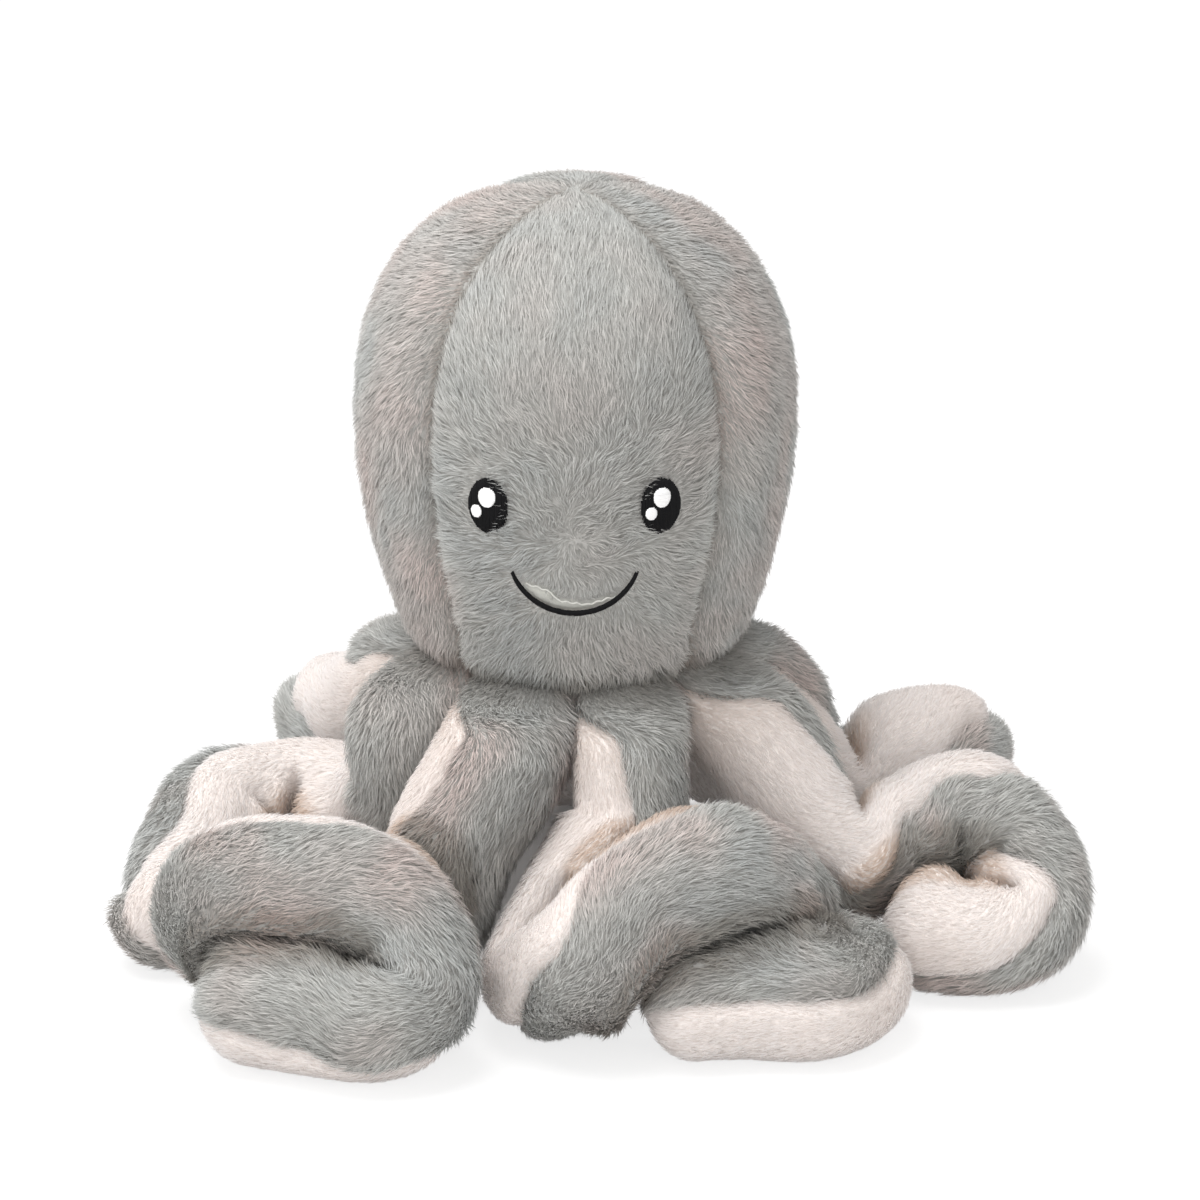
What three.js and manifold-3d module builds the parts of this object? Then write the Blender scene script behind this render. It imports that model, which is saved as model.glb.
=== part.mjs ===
// Plush octopus, in millimetres, +Z up, standing on the plane z = 0.
// A stuffed head of four gore panels sits on a ring of eight stuffed arms.
// Each arm is a tube of two long panels, a grey one and a pink one, sewn
// together along both edges over a core of filling. It leaves the neck seam
// as a wedge of one eighth of the ring, comes down and curls up on the floor.

import * as THREE from 'three';
import { mergeVertices } from 'three/addons/utils/BufferGeometryUtils.js';
import Module from 'manifold-3d';

const wasm = await Module();
wasm.setup();

// Driving dimensions of the head
const HEAD_RADIUS = 66.5;
const HEAD_RISE = 70; // from the widest ring up to the crown
const HEAD_DROP = 70; // from the widest ring down to the neck seam
const NECK_HEIGHT = 97;
const SKIN = 3; // fabric backing with its pressed pile
const SEAM_DEPTH = 1.8; // how far a sewn seam pulls the skin in
const GAP = 0.3; // between pieces that touch

// Driving dimensions of the arms
const ARM_COUNT = 8;
const ARM_WIDTH = 40; // width of one arm at the neck seam
const BASE_THICKNESS = 2.5;
const FLOOR_PRESS = 0.5; // how deep the floor flattens a resting arm

// Driving dimensions of the face
const EYE_SPACING = 52;
const EYE_HEIGHT = 157; // of the eye centres above the floor
const EYE_WIDTH = 12.5;
const EYE_TALL = 17.5;
const GLINT_LARGE = 5.4;
const GLINT_SMALL = 3.4;
const SMILE_WIDTH = 37;
const SMILE_SAG = 13;
const SMILE_LOW = 123; // lowest point of the smile above the floor
const SMILE_STROKE = 1.6;
const STITCH_RISE = 1; // how far the embroidery stands up
const GLINT_RISE_SHARE = 0.5; // of the stitches' rise
const GLINT_TALL_SHARE = 1.15; // of a glint's width

// Sizes that follow from the driving dimensions
const NECK_RADIUS = ARM_COUNT * ARM_WIDTH / (2 * Math.PI);
const EQUATOR = NECK_HEIGHT + HEAD_DROP;
const ROOT_HEIGHT = NECK_HEIGHT - BASE_THICKNESS - 2 * GAP;
const HALF_SECTOR = Math.PI / ARM_COUNT;

// How the head's outline curves, and how finely pieces are divided
const CROWN_POWER = 2.3;
const CHEEK_POWER = 1.8;
const SEAM_POWER = 6;
const GORES = 4;
const HEAD_ROWS = 12;
const GORE_COLUMNS = 8;
const GORE_INNER_COLUMNS = 4;
const TIP_ROWS = 4;
const ARM_COLUMNS = 6;
const ARM_INNER_COLUMNS = 4;

const colours = {
  grey: new THREE.Color(0xa9aaa6),
  pink: new THREE.Color(0xe4d8d2),
  filling: new THREE.Color(0xf4f3ef),
  black: new THREE.Color(0x101011),
  white: new THREE.Color(0xf2f2f2)
};

const octopus = new THREE.Group();

function addPiece(name, geometry, colour, roughness) {
  const material = new THREE.MeshStandardMaterial({ color: colour, roughness, metalness: 0 });
  const mesh = new THREE.Mesh(geometry, material);
  mesh.name = name;
  octopus.add(mesh);
  return mesh;
}

// Small helpers for meshes made row by row

function geometryFrom(triangles) {
  const flat = triangles.flat().flatMap((point) => [point.x, point.y, point.z]);
  const geometry = new THREE.BufferGeometry();
  geometry.setAttribute('position', new THREE.Float32BufferAttribute(flat, 3));
  return geometry;
}

function isThin([a, b, c]) {
  return a.equals(b) || b.equals(c) || c.equals(a);
}

// The strip between two lines of points, which may differ in their number. Where
// both lines take a step, the diagonal that is shorter by the gap parts the two
// triangles.
function strip(lower, upper) {
  const triangles = [];
  let i = 0;
  let j = 0;
  while (i < lower.length - 1 || j < upper.length - 1) {
    const ahead = (i + 1) / (lower.length - 1) - (j + 1) / (upper.length - 1);
    const even = Math.abs(ahead) < Number.EPSILON * lower.length;
    const lowerFirst = even && j < upper.length - 1
      ? lower[i + 1].distanceTo(upper[j]) <= lower[i].distanceTo(upper[j + 1]) + GAP
      : ahead < 0;
    if (j === upper.length - 1 || (i < lower.length - 1 && lowerFirst)) {
      triangles.push([lower[i], lower[i + 1], upper[j]]);
      i += 1;
    } else {
      triangles.push([lower[i], upper[j + 1], upper[j]]);
      j += 1;
    }
  }
  return triangles.filter((triangle) => !isThin(triangle));
}

// All the strips of a grid, given as rows of points
function sheet(rows) {
  return rows.slice(1).flatMap((row, i) => strip(rows[i], row));
}

function flipped(triangles) {
  return triangles.map(([a, b, c]) => [a, c, b]);
}

// A shell between an outer and an inner grid, closed along all four edges
function shell(outer, inner) {
  const edge = (rows, column) => rows.map((row) => row.at(column));
  return geometryFrom([
    ...sheet(outer),
    ...flipped(sheet(inner)),
    ...flipped(strip(edge(outer, -1), edge(inner, -1))),
    ...strip(edge(outer, 0), edge(inner, 0)),
    ...flipped(strip(outer[0], inner[0])),
    ...strip(outer.at(-1), inner.at(-1))
  ]);
}

// A closed body of rings that ends in a point, with a flat first ring
function plug(rings) {
  const centre = new THREE.Vector3();
  rings[0].slice(1).forEach((point) => centre.addScaledVector(point, 1 / (rings[0].length - 1)));
  const fan = rings[0].map(() => centre);
  return geometryFrom([...sheet(rings), ...flipped(strip(rings[0], fan))]);
}

function smooth(from, to, value) {
  const share = THREE.MathUtils.clamp((value - from) / (to - from), 0, 1);
  return share * share * (3 - 2 * share);
}

// The head

// Radius of the skin's outer face at a height
function headRadius(height) {
  if (height > EQUATOR) {
    const rise = Math.min((height - EQUATOR) / HEAD_RISE, 1);
    return HEAD_RADIUS * (1 - rise ** CROWN_POWER) ** (1 / CROWN_POWER);
  }
  const drop = (EQUATOR - height) / HEAD_DROP;
  return HEAD_RADIUS - (HEAD_RADIUS - NECK_RADIUS) * drop ** CHEEK_POWER;
}

// Heights of the head's rows: even below the widest ring, closer near the crown
function headHeights(inset) {
  const half = HEAD_ROWS / 2;
  const below = Array.from({ length: half }, (_, row) => NECK_HEIGHT + HEAD_DROP * row / half);
  const above = Array.from({ length: half + 1 }, (_, row) =>
    EQUATOR + (HEAD_RISE - inset) * Math.sin(Math.PI / 2 * row / half));
  return [...below, ...above];
}

// One row of a gore, from one seam to the next, set in from the skin's outer face
function goreRow(height, inset, columns, middle, groove) {
  const scale = (HEAD_RISE - inset) / HEAD_RISE;
  const outerHeight = height > EQUATOR ? EQUATOR + (height - EQUATOR) / scale : height;
  const full = headRadius(outerHeight);
  const shrink = height > EQUATOR ? full * inset / HEAD_RADIUS : inset;
  return Array.from({ length: columns + 1 }, (_, column) => {
    const turn = 2 * column / columns - 1;
    const dip = groove * Math.abs(turn) ** SEAM_POWER * Math.min(1, full / NECK_RADIUS);
    const radius = Math.max(full - shrink - dip, 0);
    const angle = middle + turn * Math.PI / GORES;
    return new THREE.Vector3(radius * Math.cos(angle), radius * Math.sin(angle), height);
  });
}

function goreGrid(inset, columns, middle, groove) {
  return headHeights(inset).map((height) => goreRow(height, inset, columns, middle, groove));
}

function addGore(name, middle) {
  const geometry = shell(goreGrid(0, GORE_COLUMNS, middle, SEAM_DEPTH),
    goreGrid(SKIN, GORE_INNER_COLUMNS, middle, SEAM_DEPTH));
  const apart = GAP / Math.SQRT2;
  geometry.translate(apart * Math.cos(middle), apart * Math.sin(middle), 0);
  addPiece(name, geometry, colours.grey, 1);
}

function addHeadFilling() {
  const rings = headHeights(SKIN + GAP).map((height) => {
    const around = Array.from({ length: GORES }, (_, gore) =>
      goreRow(height, SKIN + GAP, GORE_INNER_COLUMNS, 2 * Math.PI * gore / GORES, SEAM_DEPTH).slice(0, -1));
    const ring = around.flat();
    return [...ring, ring[0]];
  });
  addPiece('head_filling', plug(rings), colours.filling, 1);
}

function addBasePanel() {
  const facets = GORES * GORE_COLUMNS;
  const disc = new THREE.CylinderGeometry(NECK_RADIUS, NECK_RADIUS, BASE_THICKNESS, facets);
  disc.rotateX(Math.PI / 2);
  disc.translate(0, 0, NECK_HEIGHT - GAP - BASE_THICKNESS / 2);
  addPiece('base_panel', disc, colours.pink, 1);
}

// The face, embroidered on the front gore

// A point of the face: across from the middle, at a height, lifted off the skin
function facePoint(across, height, lift) {
  const radius = headRadius(height) + lift;
  const angle = -Math.PI / 2 + across / headRadius(height);
  return new THREE.Vector3(radius * Math.cos(angle), radius * Math.sin(angle), height);
}

// An oval patch of stitches that follows the face
function patch(across, height, width, tall, lift, thickness, facets) {
  const ringAt = (share, rise) => Array.from({ length: facets + 1 }, (_, facet) => {
    const turn = 2 * Math.PI * (facet % facets) / facets;
    return facePoint(across + share * width / 2 * Math.cos(turn),
      height + share * tall / 2 * Math.sin(turn), rise);
  });
  const shares = [1, 0.5, 0];
  const top = shares.map((share) => ringAt(share, lift + thickness));
  const bottom = shares.map((share) => ringAt(share, lift));
  return geometryFrom([
    ...sheet(top),
    ...flipped(sheet(bottom)),
    ...flipped(strip(top[0], bottom[0]))
  ]);
}

function addEye(side, across) {
  const eyeFacets = 20;
  const glintFacets = 12;
  const glintLift = 2 * GAP + STITCH_RISE;
  const largePlaceShares = [0, 0.17];
  const smallPlaceShares = [-0.26, -0.1];
  const eye = patch(across, EYE_HEIGHT, EYE_WIDTH, EYE_TALL, GAP, STITCH_RISE, eyeFacets);
  addPiece(`${side}_eye`, eye, colours.black, 0.5);
  const glints = [['large', GLINT_LARGE, largePlaceShares], ['small', GLINT_SMALL, smallPlaceShares]];
  for (const [size, diameter, [acrossShare, upShare]] of glints) {
    const glint = patch(across + acrossShare * EYE_WIDTH, EYE_HEIGHT + upShare * EYE_TALL,
      diameter, diameter * GLINT_TALL_SHARE, glintLift, STITCH_RISE * GLINT_RISE_SHARE, glintFacets);
    addPiece(`${side}_eye_${size}_glint`, glint, colours.white, 0.6);
  }
}

function addSmile() {
  const steps = 16;
  const half = SMILE_WIDTH / 2;
  const radius = (half * half + SMILE_SAG * SMILE_SAG) / (2 * SMILE_SAG);
  const reach = Math.asin(half / radius);
  const endShare = 0.45;
  const rings = Array.from({ length: steps + 1 }, (_, step) => {
    const turn = reach * (2 * step / steps - 1);
    const stroke = SMILE_STROKE * (1 - (1 - endShare) * Math.abs(turn / reach) ** 3);
    const corner = (out, lift) => {
      const along = radius + out * stroke / 2;
      return facePoint(along * Math.sin(turn), SMILE_LOW + radius - along * Math.cos(turn), lift);
    };
    const low = GAP;
    const high = GAP + STITCH_RISE;
    const ring = [corner(-1, low), corner(1, low), corner(1, high), corner(-1, high)];
    return [...ring, ring[0]];
  });
  const end = (ring) => [[ring[0], ring[1], ring[2]], [ring[0], ring[2], ring[3]]];
  addPiece('smile', geometryFrom([
    ...flipped(sheet(rings)), ...end(rings[0]), ...flipped(end(rings.at(-1)))
  ]), colours.black, 0.5);
}

// The arms

// Each route starts at the neck seam and has one row for each place that the
// arm passes: across and deep in arm widths, its height on the column as a
// share of the neck's height, its height above lying on the floor in arm
// widths, and half its thickness in arm widths. Each facing row says which way
// the pink panel looks at that place.
const arms = [
  {
    name: 'front_left_arm',
    azimuthDegrees: -112.5,
    routeShares: [
      [-0.56, -1.25, 0.76, 0, 0.53],
      [-0.9, -1.42, 0.52, 0, 0.51],
      [-1.14, -1.45, 0, 0.12, 0.5],
      [-1.6, -1.5, 0, 0, 0.5],
      [-2.15, -1.56, 0, 0.02, 0.49],
      [-2.66, -1.8, 0, 0.3, 0.48],
      [-2.52, -2.2, 0, 0.74, 0.48],
      [-2.05, -2.44, 0, 0.88, 0.49],
      [-1.6, -2.52, 0, 0.84, 0.49],
      [-1.26, -2.66, 0, 0.58, 0.47],
      [-1.16, -2.9, 0, 0.24, 0.46],
      [-1.4, -3.06, 0, 0, 0.48],
      [-1.95, -2.94, 0, 0, 0.48],
      [-2.82, -2.64, 0, 0, 0.46]
    ],
    facingShares: [
      [-0.7, 0.75, 0], [-0.7, 0.75, 0.1], [-0.5, 0.5, 0.7], [0, 0.3, 1], [0.2, 0.3, 0.9],
      [0.8, 0.4, 0.3], [0.4, 0.9, 0], [0, 1, -0.1], [0, 1, -0.2], [-0.3, 0.8, -0.3], [-0.6, 0.6, -0.4],
      [-0.2, 0.6, -0.8], [0, 0.3, -0.95], [-0.2, -0.2, -0.95]
    ]
  },
  {
    name: 'front_right_arm',
    azimuthDegrees: -67.5,
    routeShares: [
      [0.36, -1.2, 0.76, 0, 0.49],
      [0.32, -1.44, 0.56, 0, 0.48],
      [0, -1.72, 0, 0.42, 0.46],
      [-0.28, -2.18, 0, 0, 0.46],
      [0.04, -2.72, 0, 0.38, 0.47],
      [0.5, -2.64, 0, 0.8, 0.48],
      [1.02, -2.34, 0, 0.9, 0.49],
      [1.42, -1.82, 0, 0.56, 0.47],
      [1.66, -1.68, 0, 0.1, 0.46],
      [1.88, -1.84, 0, 0, 0.45],
      [2.08, -2.18, 0, 0, 0.45],
      [1.84, -2.58, 0, 0, 0.46],
      [1.2, -2.64, 0, 0, 0.46],
      [0.42, -2.76, 0, 0, 0.43]
    ],
    facingShares: [
      [-0.9, 0, 0], [-0.9, -0.3, 0], [-0.95, -0.3, 0], [-0.9, -0.1, 0.4], [-0.8, 0.6, 0],
      [-0.4, 0.8, -0.4], [0, 0.8, -0.6], [-0.3, 0.8, -0.6], [-0.3, 0.6, -0.8], [0.4, 0.4, -0.9],
      [0.6, -0.3, -0.8], [0, -0.4, -0.9], [0, -0.4, -0.9], [0, -0.5, -0.85]
    ]
  },
  {
    name: 'right_front_arm',
    azimuthDegrees: -22.5,
    routeShares: [
      [1.28, -0.54, 0.74, 0, 0.5],
      [1.62, -0.65, 0.56, 0, 0.5],
      [2.02, -0.72, 0, 0.48, 0.5],
      [2.5, -0.6, 0, 0.56, 0.49],
      [2.96, -0.56, 0, 0.68, 0.48],
      [3.34, -0.76, 0, 0.5, 0.43],
      [3.4, -1.18, 0, 0.14, 0.44],
      [2.98, -1.38, 0, 0.02, 0.45],
      [2.2, -1.2, 0, 0.04, 0.43]
    ],
    facingShares: [
      [-0.4, -0.8, 0], [-0.3, -0.9, 0.2], [-0.4, -0.3, 0.8], [-0.3, 0.5, 0.8], [-0.5, 0.8, 0.4],
      [-0.8, 0.7, 0.1], [-0.7, -0.1, 0.6], [-0.2, -0.5, 0.8], [-0.1, -0.75, 0.65]
    ]
  },
  {
    name: 'right_back_arm',
    azimuthDegrees: 22.5,
    routeShares: [
      [1.3, 0.54, 0.72, 0, 0.5],
      [1.64, 0.66, 0.52, 0, 0.49],
      [2.02, 0.82, 0, 0.46, 0.48],
      [2.44, 0.98, 0, 0.56, 0.48],
      [2.78, 1.26, 0, 0.56, 0.47],
      [2.9, 1.72, 0, 0.3, 0.46],
      [2.64, 2.2, 0, 0.02, 0.45],
      [2.04, 2.44, 0, 0, 0.43]
    ],
    facingShares: [
      [-0.5, -0.8, 0], [-0.4, -0.9, 0.2], [-0.3, -0.7, 0.6], [-0.4, -0.5, 0.8], [-0.6, -0.2, 0.8],
      [-0.8, 0, 0.6], [-0.6, -0.1, 0.8], [-0.2, 0, 1]
    ]
  },
  {
    name: 'back_right_arm',
    azimuthDegrees: 67.5,
    routeShares: [
      [0.52, 1.26, 0.74, 0, 0.5],
      [0.76, 1.74, 0.48, 0, 0.5],
      [1.08, 2.26, 0, 0.14, 0.5],
      [1.36, 2.7, 0, 0, 0.48],
      [1.3, 3.16, 0, 0, 0.46]
    ],
    facingShares: [
      [-0.4, -0.9, 0], [-0.2, -0.7, -0.7], [0, -0.3, -1], [0, 0, -1], [0, 0, -1]
    ]
  },
  {
    name: 'back_left_arm',
    azimuthDegrees: 112.5,
    routeShares: [
      [-0.52, 1.26, 0.74, 0, 0.5],
      [-0.6, 1.74, 0.48, 0, 0.5],
      [-0.4, 2.24, 0, 0.14, 0.5],
      [0, 2.62, 0, 0, 0.48],
      [0.2, 3.06, 0, 0, 0.46]
    ],
    facingShares: [
      [0.4, -0.9, 0], [0.2, -0.7, -0.7], [0, -0.3, -1], [0, 0, -1], [0, 0, -1]
    ]
  },
  {
    name: 'left_back_arm',
    azimuthDegrees: 157.5,
    routeShares: [
      [-1.24, 0.64, 0.75, 0, 0.5],
      [-1.48, 1.1, 0.58, 0, 0.5],
      [-1.74, 1.56, 0, 0.62, 0.5],
      [-1.84, 2.02, 0, 0.5, 0.49],
      [-1.74, 2.46, 0, 0.22, 0.48],
      [-1.56, 2.9, 0, 0, 0.45]
    ],
    facingShares: [
      [0.3, -0.8, 0.2], [0.2, -0.8, 0.5], [0.3, -0.5, 0.9], [0.5, -0.3, 0.7], [0.5, -0.2, 0.7],
      [0.3, -0.2, 0.8]
    ]
  },
  {
    name: 'left_front_arm',
    azimuthDegrees: -157.5,
    routeShares: [
      [-1.2, -0.48, 0.76, 0, 0.5],
      [-1.26, -0.42, 0.56, 0, 0.49],
      [-1.52, -0.04, 0, 0.5, 0.48],
      [-2.02, 0.36, 0, 0.44, 0.48],
      [-2.6, 0.2, 0, 0.44, 0.48],
      [-2.86, -0.3, 0, 0.24, 0.47],
      [-3.04, -0.78, 0, 0, 0.46],
      [-3.42, -1.16, 0, 0, 0.42]
    ],
    facingShares: [
      [0.3, 0.9, 0], [0, 0.8, 0.3], [-0.1, -0.2, 0.9], [0.2, -0.7, 0.7], [0.9, -0.3, 0.4],
      [0.9, 0.2, 0.35], [0.6, 0, 0.8], [0.2, 0, 1]
    ]
  }
];

// How far along an arm it stops going straight down, and how far along the
// wedge at its root has let go
const STRAIGHT_END = 48;
const WEDGE_END = 88;
const ROOT_HALF_SHARE = 0.53;
const TIP_SHARE = 0.95;
const CREASE_SHARE = 0.8; // how near the inside of a bend comes to its centre
const LEAST_REACH_SHARE = 0.3; // of the girth, on the inside of the sharpest bend
const BESIDE_SHARES = [-1.6, -1.2, -0.8, -0.4, -0.2, 0.2, 0.4, 0.8, 1.2, 1.6]; // of the girth
const ROW_SHARE = 0.34; // of the arm's width, from row to row where it is straight
const BEND_SHARE = 0.3; // of the arm's width, that a radian of bend counts for
const COURSE_STEPS = 200;
const COURSE_TENSION = 0.5;
const TIP_LENGTH_SHARE = 0.5; // of the arm's width, for its round tip
const RING_MIDDLE_SHARE = 0.2; // of the arm's width, kept free round the ring's middle
const FLOOR_REACH_SHARE = 20; // of the arm's width
const MERGE_SHARE = 0.001; // of the gap, within which points are one

// The turn about an axis that takes one direction to another
function turnBetween(from, to, axis) {
  const sine = new THREE.Vector3().crossVectors(from, to).dot(axis);
  const cosine = from.dot(to) - from.dot(axis) * to.dot(axis);
  return Math.atan2(sine, cosine);
}

// The centre line of an arm with its girth, its bend and its twist
function armCourse({ azimuthDegrees, routeShares, facingShares }) {
  const azimuth = THREE.MathUtils.degToRad(azimuthDegrees);
  const outward = new THREE.Vector3(Math.cos(azimuth), Math.sin(azimuth), 0);
  const rootHalf = ROOT_HALF_SHARE * ARM_WIDTH;
  const start = outward.clone().multiplyScalar(NECK_RADIUS - rootHalf).setZ(ROOT_HEIGHT);
  const places = routeShares.map(([across, deep, neck, lift, girth]) => {
    const lying = girth * ARM_WIDTH - FLOOR_PRESS;
    const height = neck > 0 ? neck * NECK_HEIGHT : lying + lift * ARM_WIDTH;
    return new THREE.Vector3(across * ARM_WIDTH, deep * ARM_WIDTH, height);
  });
  const curve = new THREE.CatmullRomCurve3([start, ...places], false, 'catmullrom', COURSE_TENSION);
  curve.arcLengthDivisions = COURSE_STEPS * places.length;
  const lengths = curve.getLengths();
  const length = lengths.at(-1);
  const placeShares = Array.from({ length: places.length + 1 }, (_, place) =>
    lengths[place * COURSE_STEPS] / length);
  const girths = [ROOT_HALF_SHARE, ...routeShares.map((row) => row.at(-1))];
  const facings = [outward.clone().negate(), ...facingShares.map((row) => new THREE.Vector3(...row))];

  const alongAt = (share) => new THREE.Vector3(0, 0, -1)
    .lerp(curve.getTangentAt(THREE.MathUtils.clamp(share, 0, 1)), smooth(0, STRAIGHT_END, share * length))
    .normalize();

  // The direction of the top panel, carried along the arm without any twist
  const carried = [outward.clone()];
  for (let step = 1; step <= COURSE_STEPS; step += 1) {
    const turn = new THREE.Quaternion().setFromUnitVectors(
      alongAt((step - 1) / COURSE_STEPS), alongAt(step / COURSE_STEPS));
    carried.push(carried.at(-1).clone().applyQuaternion(turn));
  }
  const carriedAt = (share) => {
    const step = Math.min(Math.floor(share * COURSE_STEPS), COURSE_STEPS - 1);
    return carried[step].clone().lerp(carried[step + 1], share * COURSE_STEPS - step).normalize();
  };

  // The twist at each place that turns the pink panel the way it faces
  const twists = [0];
  for (let place = 1; place <= places.length; place += 1) {
    const share = placeShares[place];
    const wanted = facings[place].clone().negate().normalize();
    const full = turnBetween(carriedAt(share), wanted, alongAt(share));
    const change = full - twists.at(-1);
    twists.push(full - 2 * Math.PI * Math.round(change / (2 * Math.PI)));
  }

  // Rows stand closer together where the arm bends
  const paces = [0];
  for (let step = 1; step <= COURSE_STEPS; step += 1) {
    const bend = alongAt((step - 1) / COURSE_STEPS).angleTo(alongAt(step / COURSE_STEPS));
    paces.push(paces.at(-1) + length / COURSE_STEPS + bend * BEND_SHARE * ARM_WIDTH);
  }

  return {
    azimuth,
    length,
    rowShares(endShare) {
      const last = paces[Math.round(endShare * COURSE_STEPS)];
      const count = Math.round(last / (ROW_SHARE * ARM_WIDTH));
      return Array.from({ length: count + 1 }, (_, row) => {
        const pace = last * row / count;
        const step = Math.min(paces.findLastIndex((value) => value <= pace), COURSE_STEPS - 1);
        const rest = (pace - paces[step]) / (paces[step + 1] - paces[step]);
        return Math.min((step + rest) / COURSE_STEPS, endShare);
      });
    },
    at(share) {
      const place = Math.max(placeShares.findLastIndex((value) => value <= share), 0);
      const next = Math.min(place + 1, places.length);
      const rest = smooth(placeShares[place], placeShares[next], share);
      const along = alongAt(share);
      const twist = THREE.MathUtils.lerp(twists[place], twists[next], rest);
      const top = carriedAt(share).applyAxisAngle(along, twist);
      top.addScaledVector(along, -top.dot(along)).normalize();
      const girth = THREE.MathUtils.lerp(girths[place], girths[next], rest) * ARM_WIDTH;
      const side = new THREE.Vector3().crossVectors(top, along);
      return { centre: curve.getPointAt(share), girth, along, top, side };
    },
    planesBeside(share, girth) {
      const centre = curve.getPointAt(share);
      return BESIDE_SHARES
        .map((besideShare) => [besideShare, share + besideShare * girth / length])
        .filter(([, there]) => there > 0 && there < 1)
        .map(([besideShare, there]) => {
          const normal = alongAt(there).multiplyScalar(Math.sign(besideShare));
          return { normal, room: normal.dot(curve.getPointAt(there).sub(centre)) };
        });
    }
  };
}

// The planes that bound an arm's root: its two neighbours and the ring's middle
function rootPlanes(azimuth, inset) {
  const wall = (turn) => new THREE.Vector3(Math.cos(azimuth + turn), Math.sin(azimuth + turn), 0);
  const quarter = Math.PI / 2;
  const margin = inset + GAP / 2;
  const middle = RING_MIDDLE_SHARE * ARM_WIDTH;
  return [
    { normal: wall(quarter - HALF_SECTOR), distance: margin },
    { normal: wall(HALF_SECTOR - quarter), distance: margin },
    { normal: wall(0), distance: margin + middle }
  ];
}

// One ring of an arm's section, from one seam to the other or all round, moved
// apart by half the seam's gap
function armRing(course, share, tipTurn, { inset, fromAngle, toAngle, columns, apart }) {
  const { centre, girth, top, side, along } = course.at(share);
  const tipReach = (girth * TIP_SHARE - inset) * Math.sin(tipTurn);
  const middle = centre.clone().addScaledVector(along, tipReach);
  const loose = smooth(STRAIGHT_END, WEDGE_END, share * course.length) * NECK_RADIUS;
  const planes = rootPlanes(course.azimuth, inset);
  const beside = course.planesBeside(share, girth);
  return Array.from({ length: columns + 1 }, (_, column) => {
    const angle = THREE.MathUtils.lerp(fromAngle, toAngle, column / columns);
    const ray = side.clone().multiplyScalar(Math.cos(angle)).addScaledVector(top, Math.sin(angle));
    const creases = beside
      .filter(({ normal, room }) => room > 0 && normal.dot(ray) > 0)
      .map(({ normal, room }) => CREASE_SHARE * room / normal.dot(ray));
    const folded = Math.max(Math.min(girth, ...creases), LEAST_REACH_SHARE * girth);
    let reach = (folded - inset) * Math.cos(tipTurn);
    for (const { normal, distance } of planes) {
      const towards = -normal.dot(ray);
      const room = normal.dot(middle) - distance + loose;
      if (towards > 0) {
        reach = Math.min(reach, room / towards);
      }
    }
    return middle.clone().addScaledVector(ray, reach).addScaledVector(top, apart);
  });
}

// All rings of an arm: the long part, then the round tip that ends in a point
function armGrid(course, section) {
  const bodyEnd = 1 - TIP_LENGTH_SHARE * ARM_WIDTH / course.length;
  const body = course.rowShares(bodyEnd).map((share) => armRing(course, share, 0, section));
  const tip = Array.from({ length: TIP_ROWS }, (_, row) =>
    armRing(course, bodyEnd, Math.PI / 2 * (row + 1) / TIP_ROWS, section));
  const point = tip.at(-1)[0];
  return [...body, ...tip.slice(0, -1), tip.at(-1).map(() => point)];
}

function solidFrom(geometry) {
  const bare = geometry.clone();
  bare.deleteAttribute('normal');
  bare.deleteAttribute('uv');
  const merged = mergeVertices(bare, MERGE_SHARE * GAP);
  const mesh = new wasm.Mesh({
    numProp: 3,
    vertProperties: new Float32Array(merged.attributes.position.array),
    triVerts: new Uint32Array(merged.index.array)
  });
  return new wasm.Manifold(mesh);
}

function geometryOf(solid) {
  const { vertProperties, triVerts } = solid.getMesh();
  const geometry = new THREE.BufferGeometry();
  geometry.setAttribute('position', new THREE.BufferAttribute(vertProperties, 3));
  geometry.setIndex(new THREE.BufferAttribute(triVerts, 1));
  return geometry;
}

// The floor, as a block whose top face presses the arms flat
function floorSolid() {
  const reach = FLOOR_REACH_SHARE * ARM_WIDTH;
  const block = new THREE.BoxGeometry(reach, reach, ARM_WIDTH);
  block.translate(0, 0, -ARM_WIDTH / 2);
  return solidFrom(block);
}

const floor = floorSolid();

function pressed(geometry) {
  return geometryOf(solidFrom(geometry).subtract(floor));
}

function addArm(arm) {
  const course = armCourse(arm);
  const panels = [['top', 1, 0, colours.grey], ['under', -1, Math.PI, colours.pink]];
  for (const [side, sign, fromAngle, colour] of panels) {
    const toAngle = fromAngle + Math.PI;
    const apart = sign * GAP / 2;
    const outer = armGrid(course, { inset: 0, fromAngle, toAngle, columns: ARM_COLUMNS, apart });
    const inner = armGrid(course, { inset: SKIN, fromAngle, toAngle, columns: ARM_INNER_COLUMNS, apart });
    addPiece(`${arm.name}_${side}_panel`, pressed(shell(outer, inner)), colour, 1);
  }
  const round = { fromAngle: 0, toAngle: 2 * Math.PI, columns: 2 * ARM_INNER_COLUMNS };
  const core = armGrid(course, { ...round, inset: SKIN + 2 * GAP, apart: 0 })
    .map((ring) => [...ring.slice(0, -1), ring[0]]);
  addPiece(`${arm.name}_filling`, plug(core), colours.filling, 1);
}

addGore('face_panel', -Math.PI / 2);
addGore('right_side_panel', 0);
addGore('back_panel', Math.PI / 2);
addGore('left_side_panel', Math.PI);
addHeadFilling();
addBasePanel();
addEye('left', -EYE_SPACING / 2);
addEye('right', EYE_SPACING / 2);
addSmile();
arms.forEach(addArm);

// The origin is on the floor, in the middle of the whole toy
const bounds = new THREE.Box3().setFromObject(octopus);
const middle = bounds.getCenter(new THREE.Vector3());
octopus.position.set(-middle.x, -middle.y, 0);

export default octopus;
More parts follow.
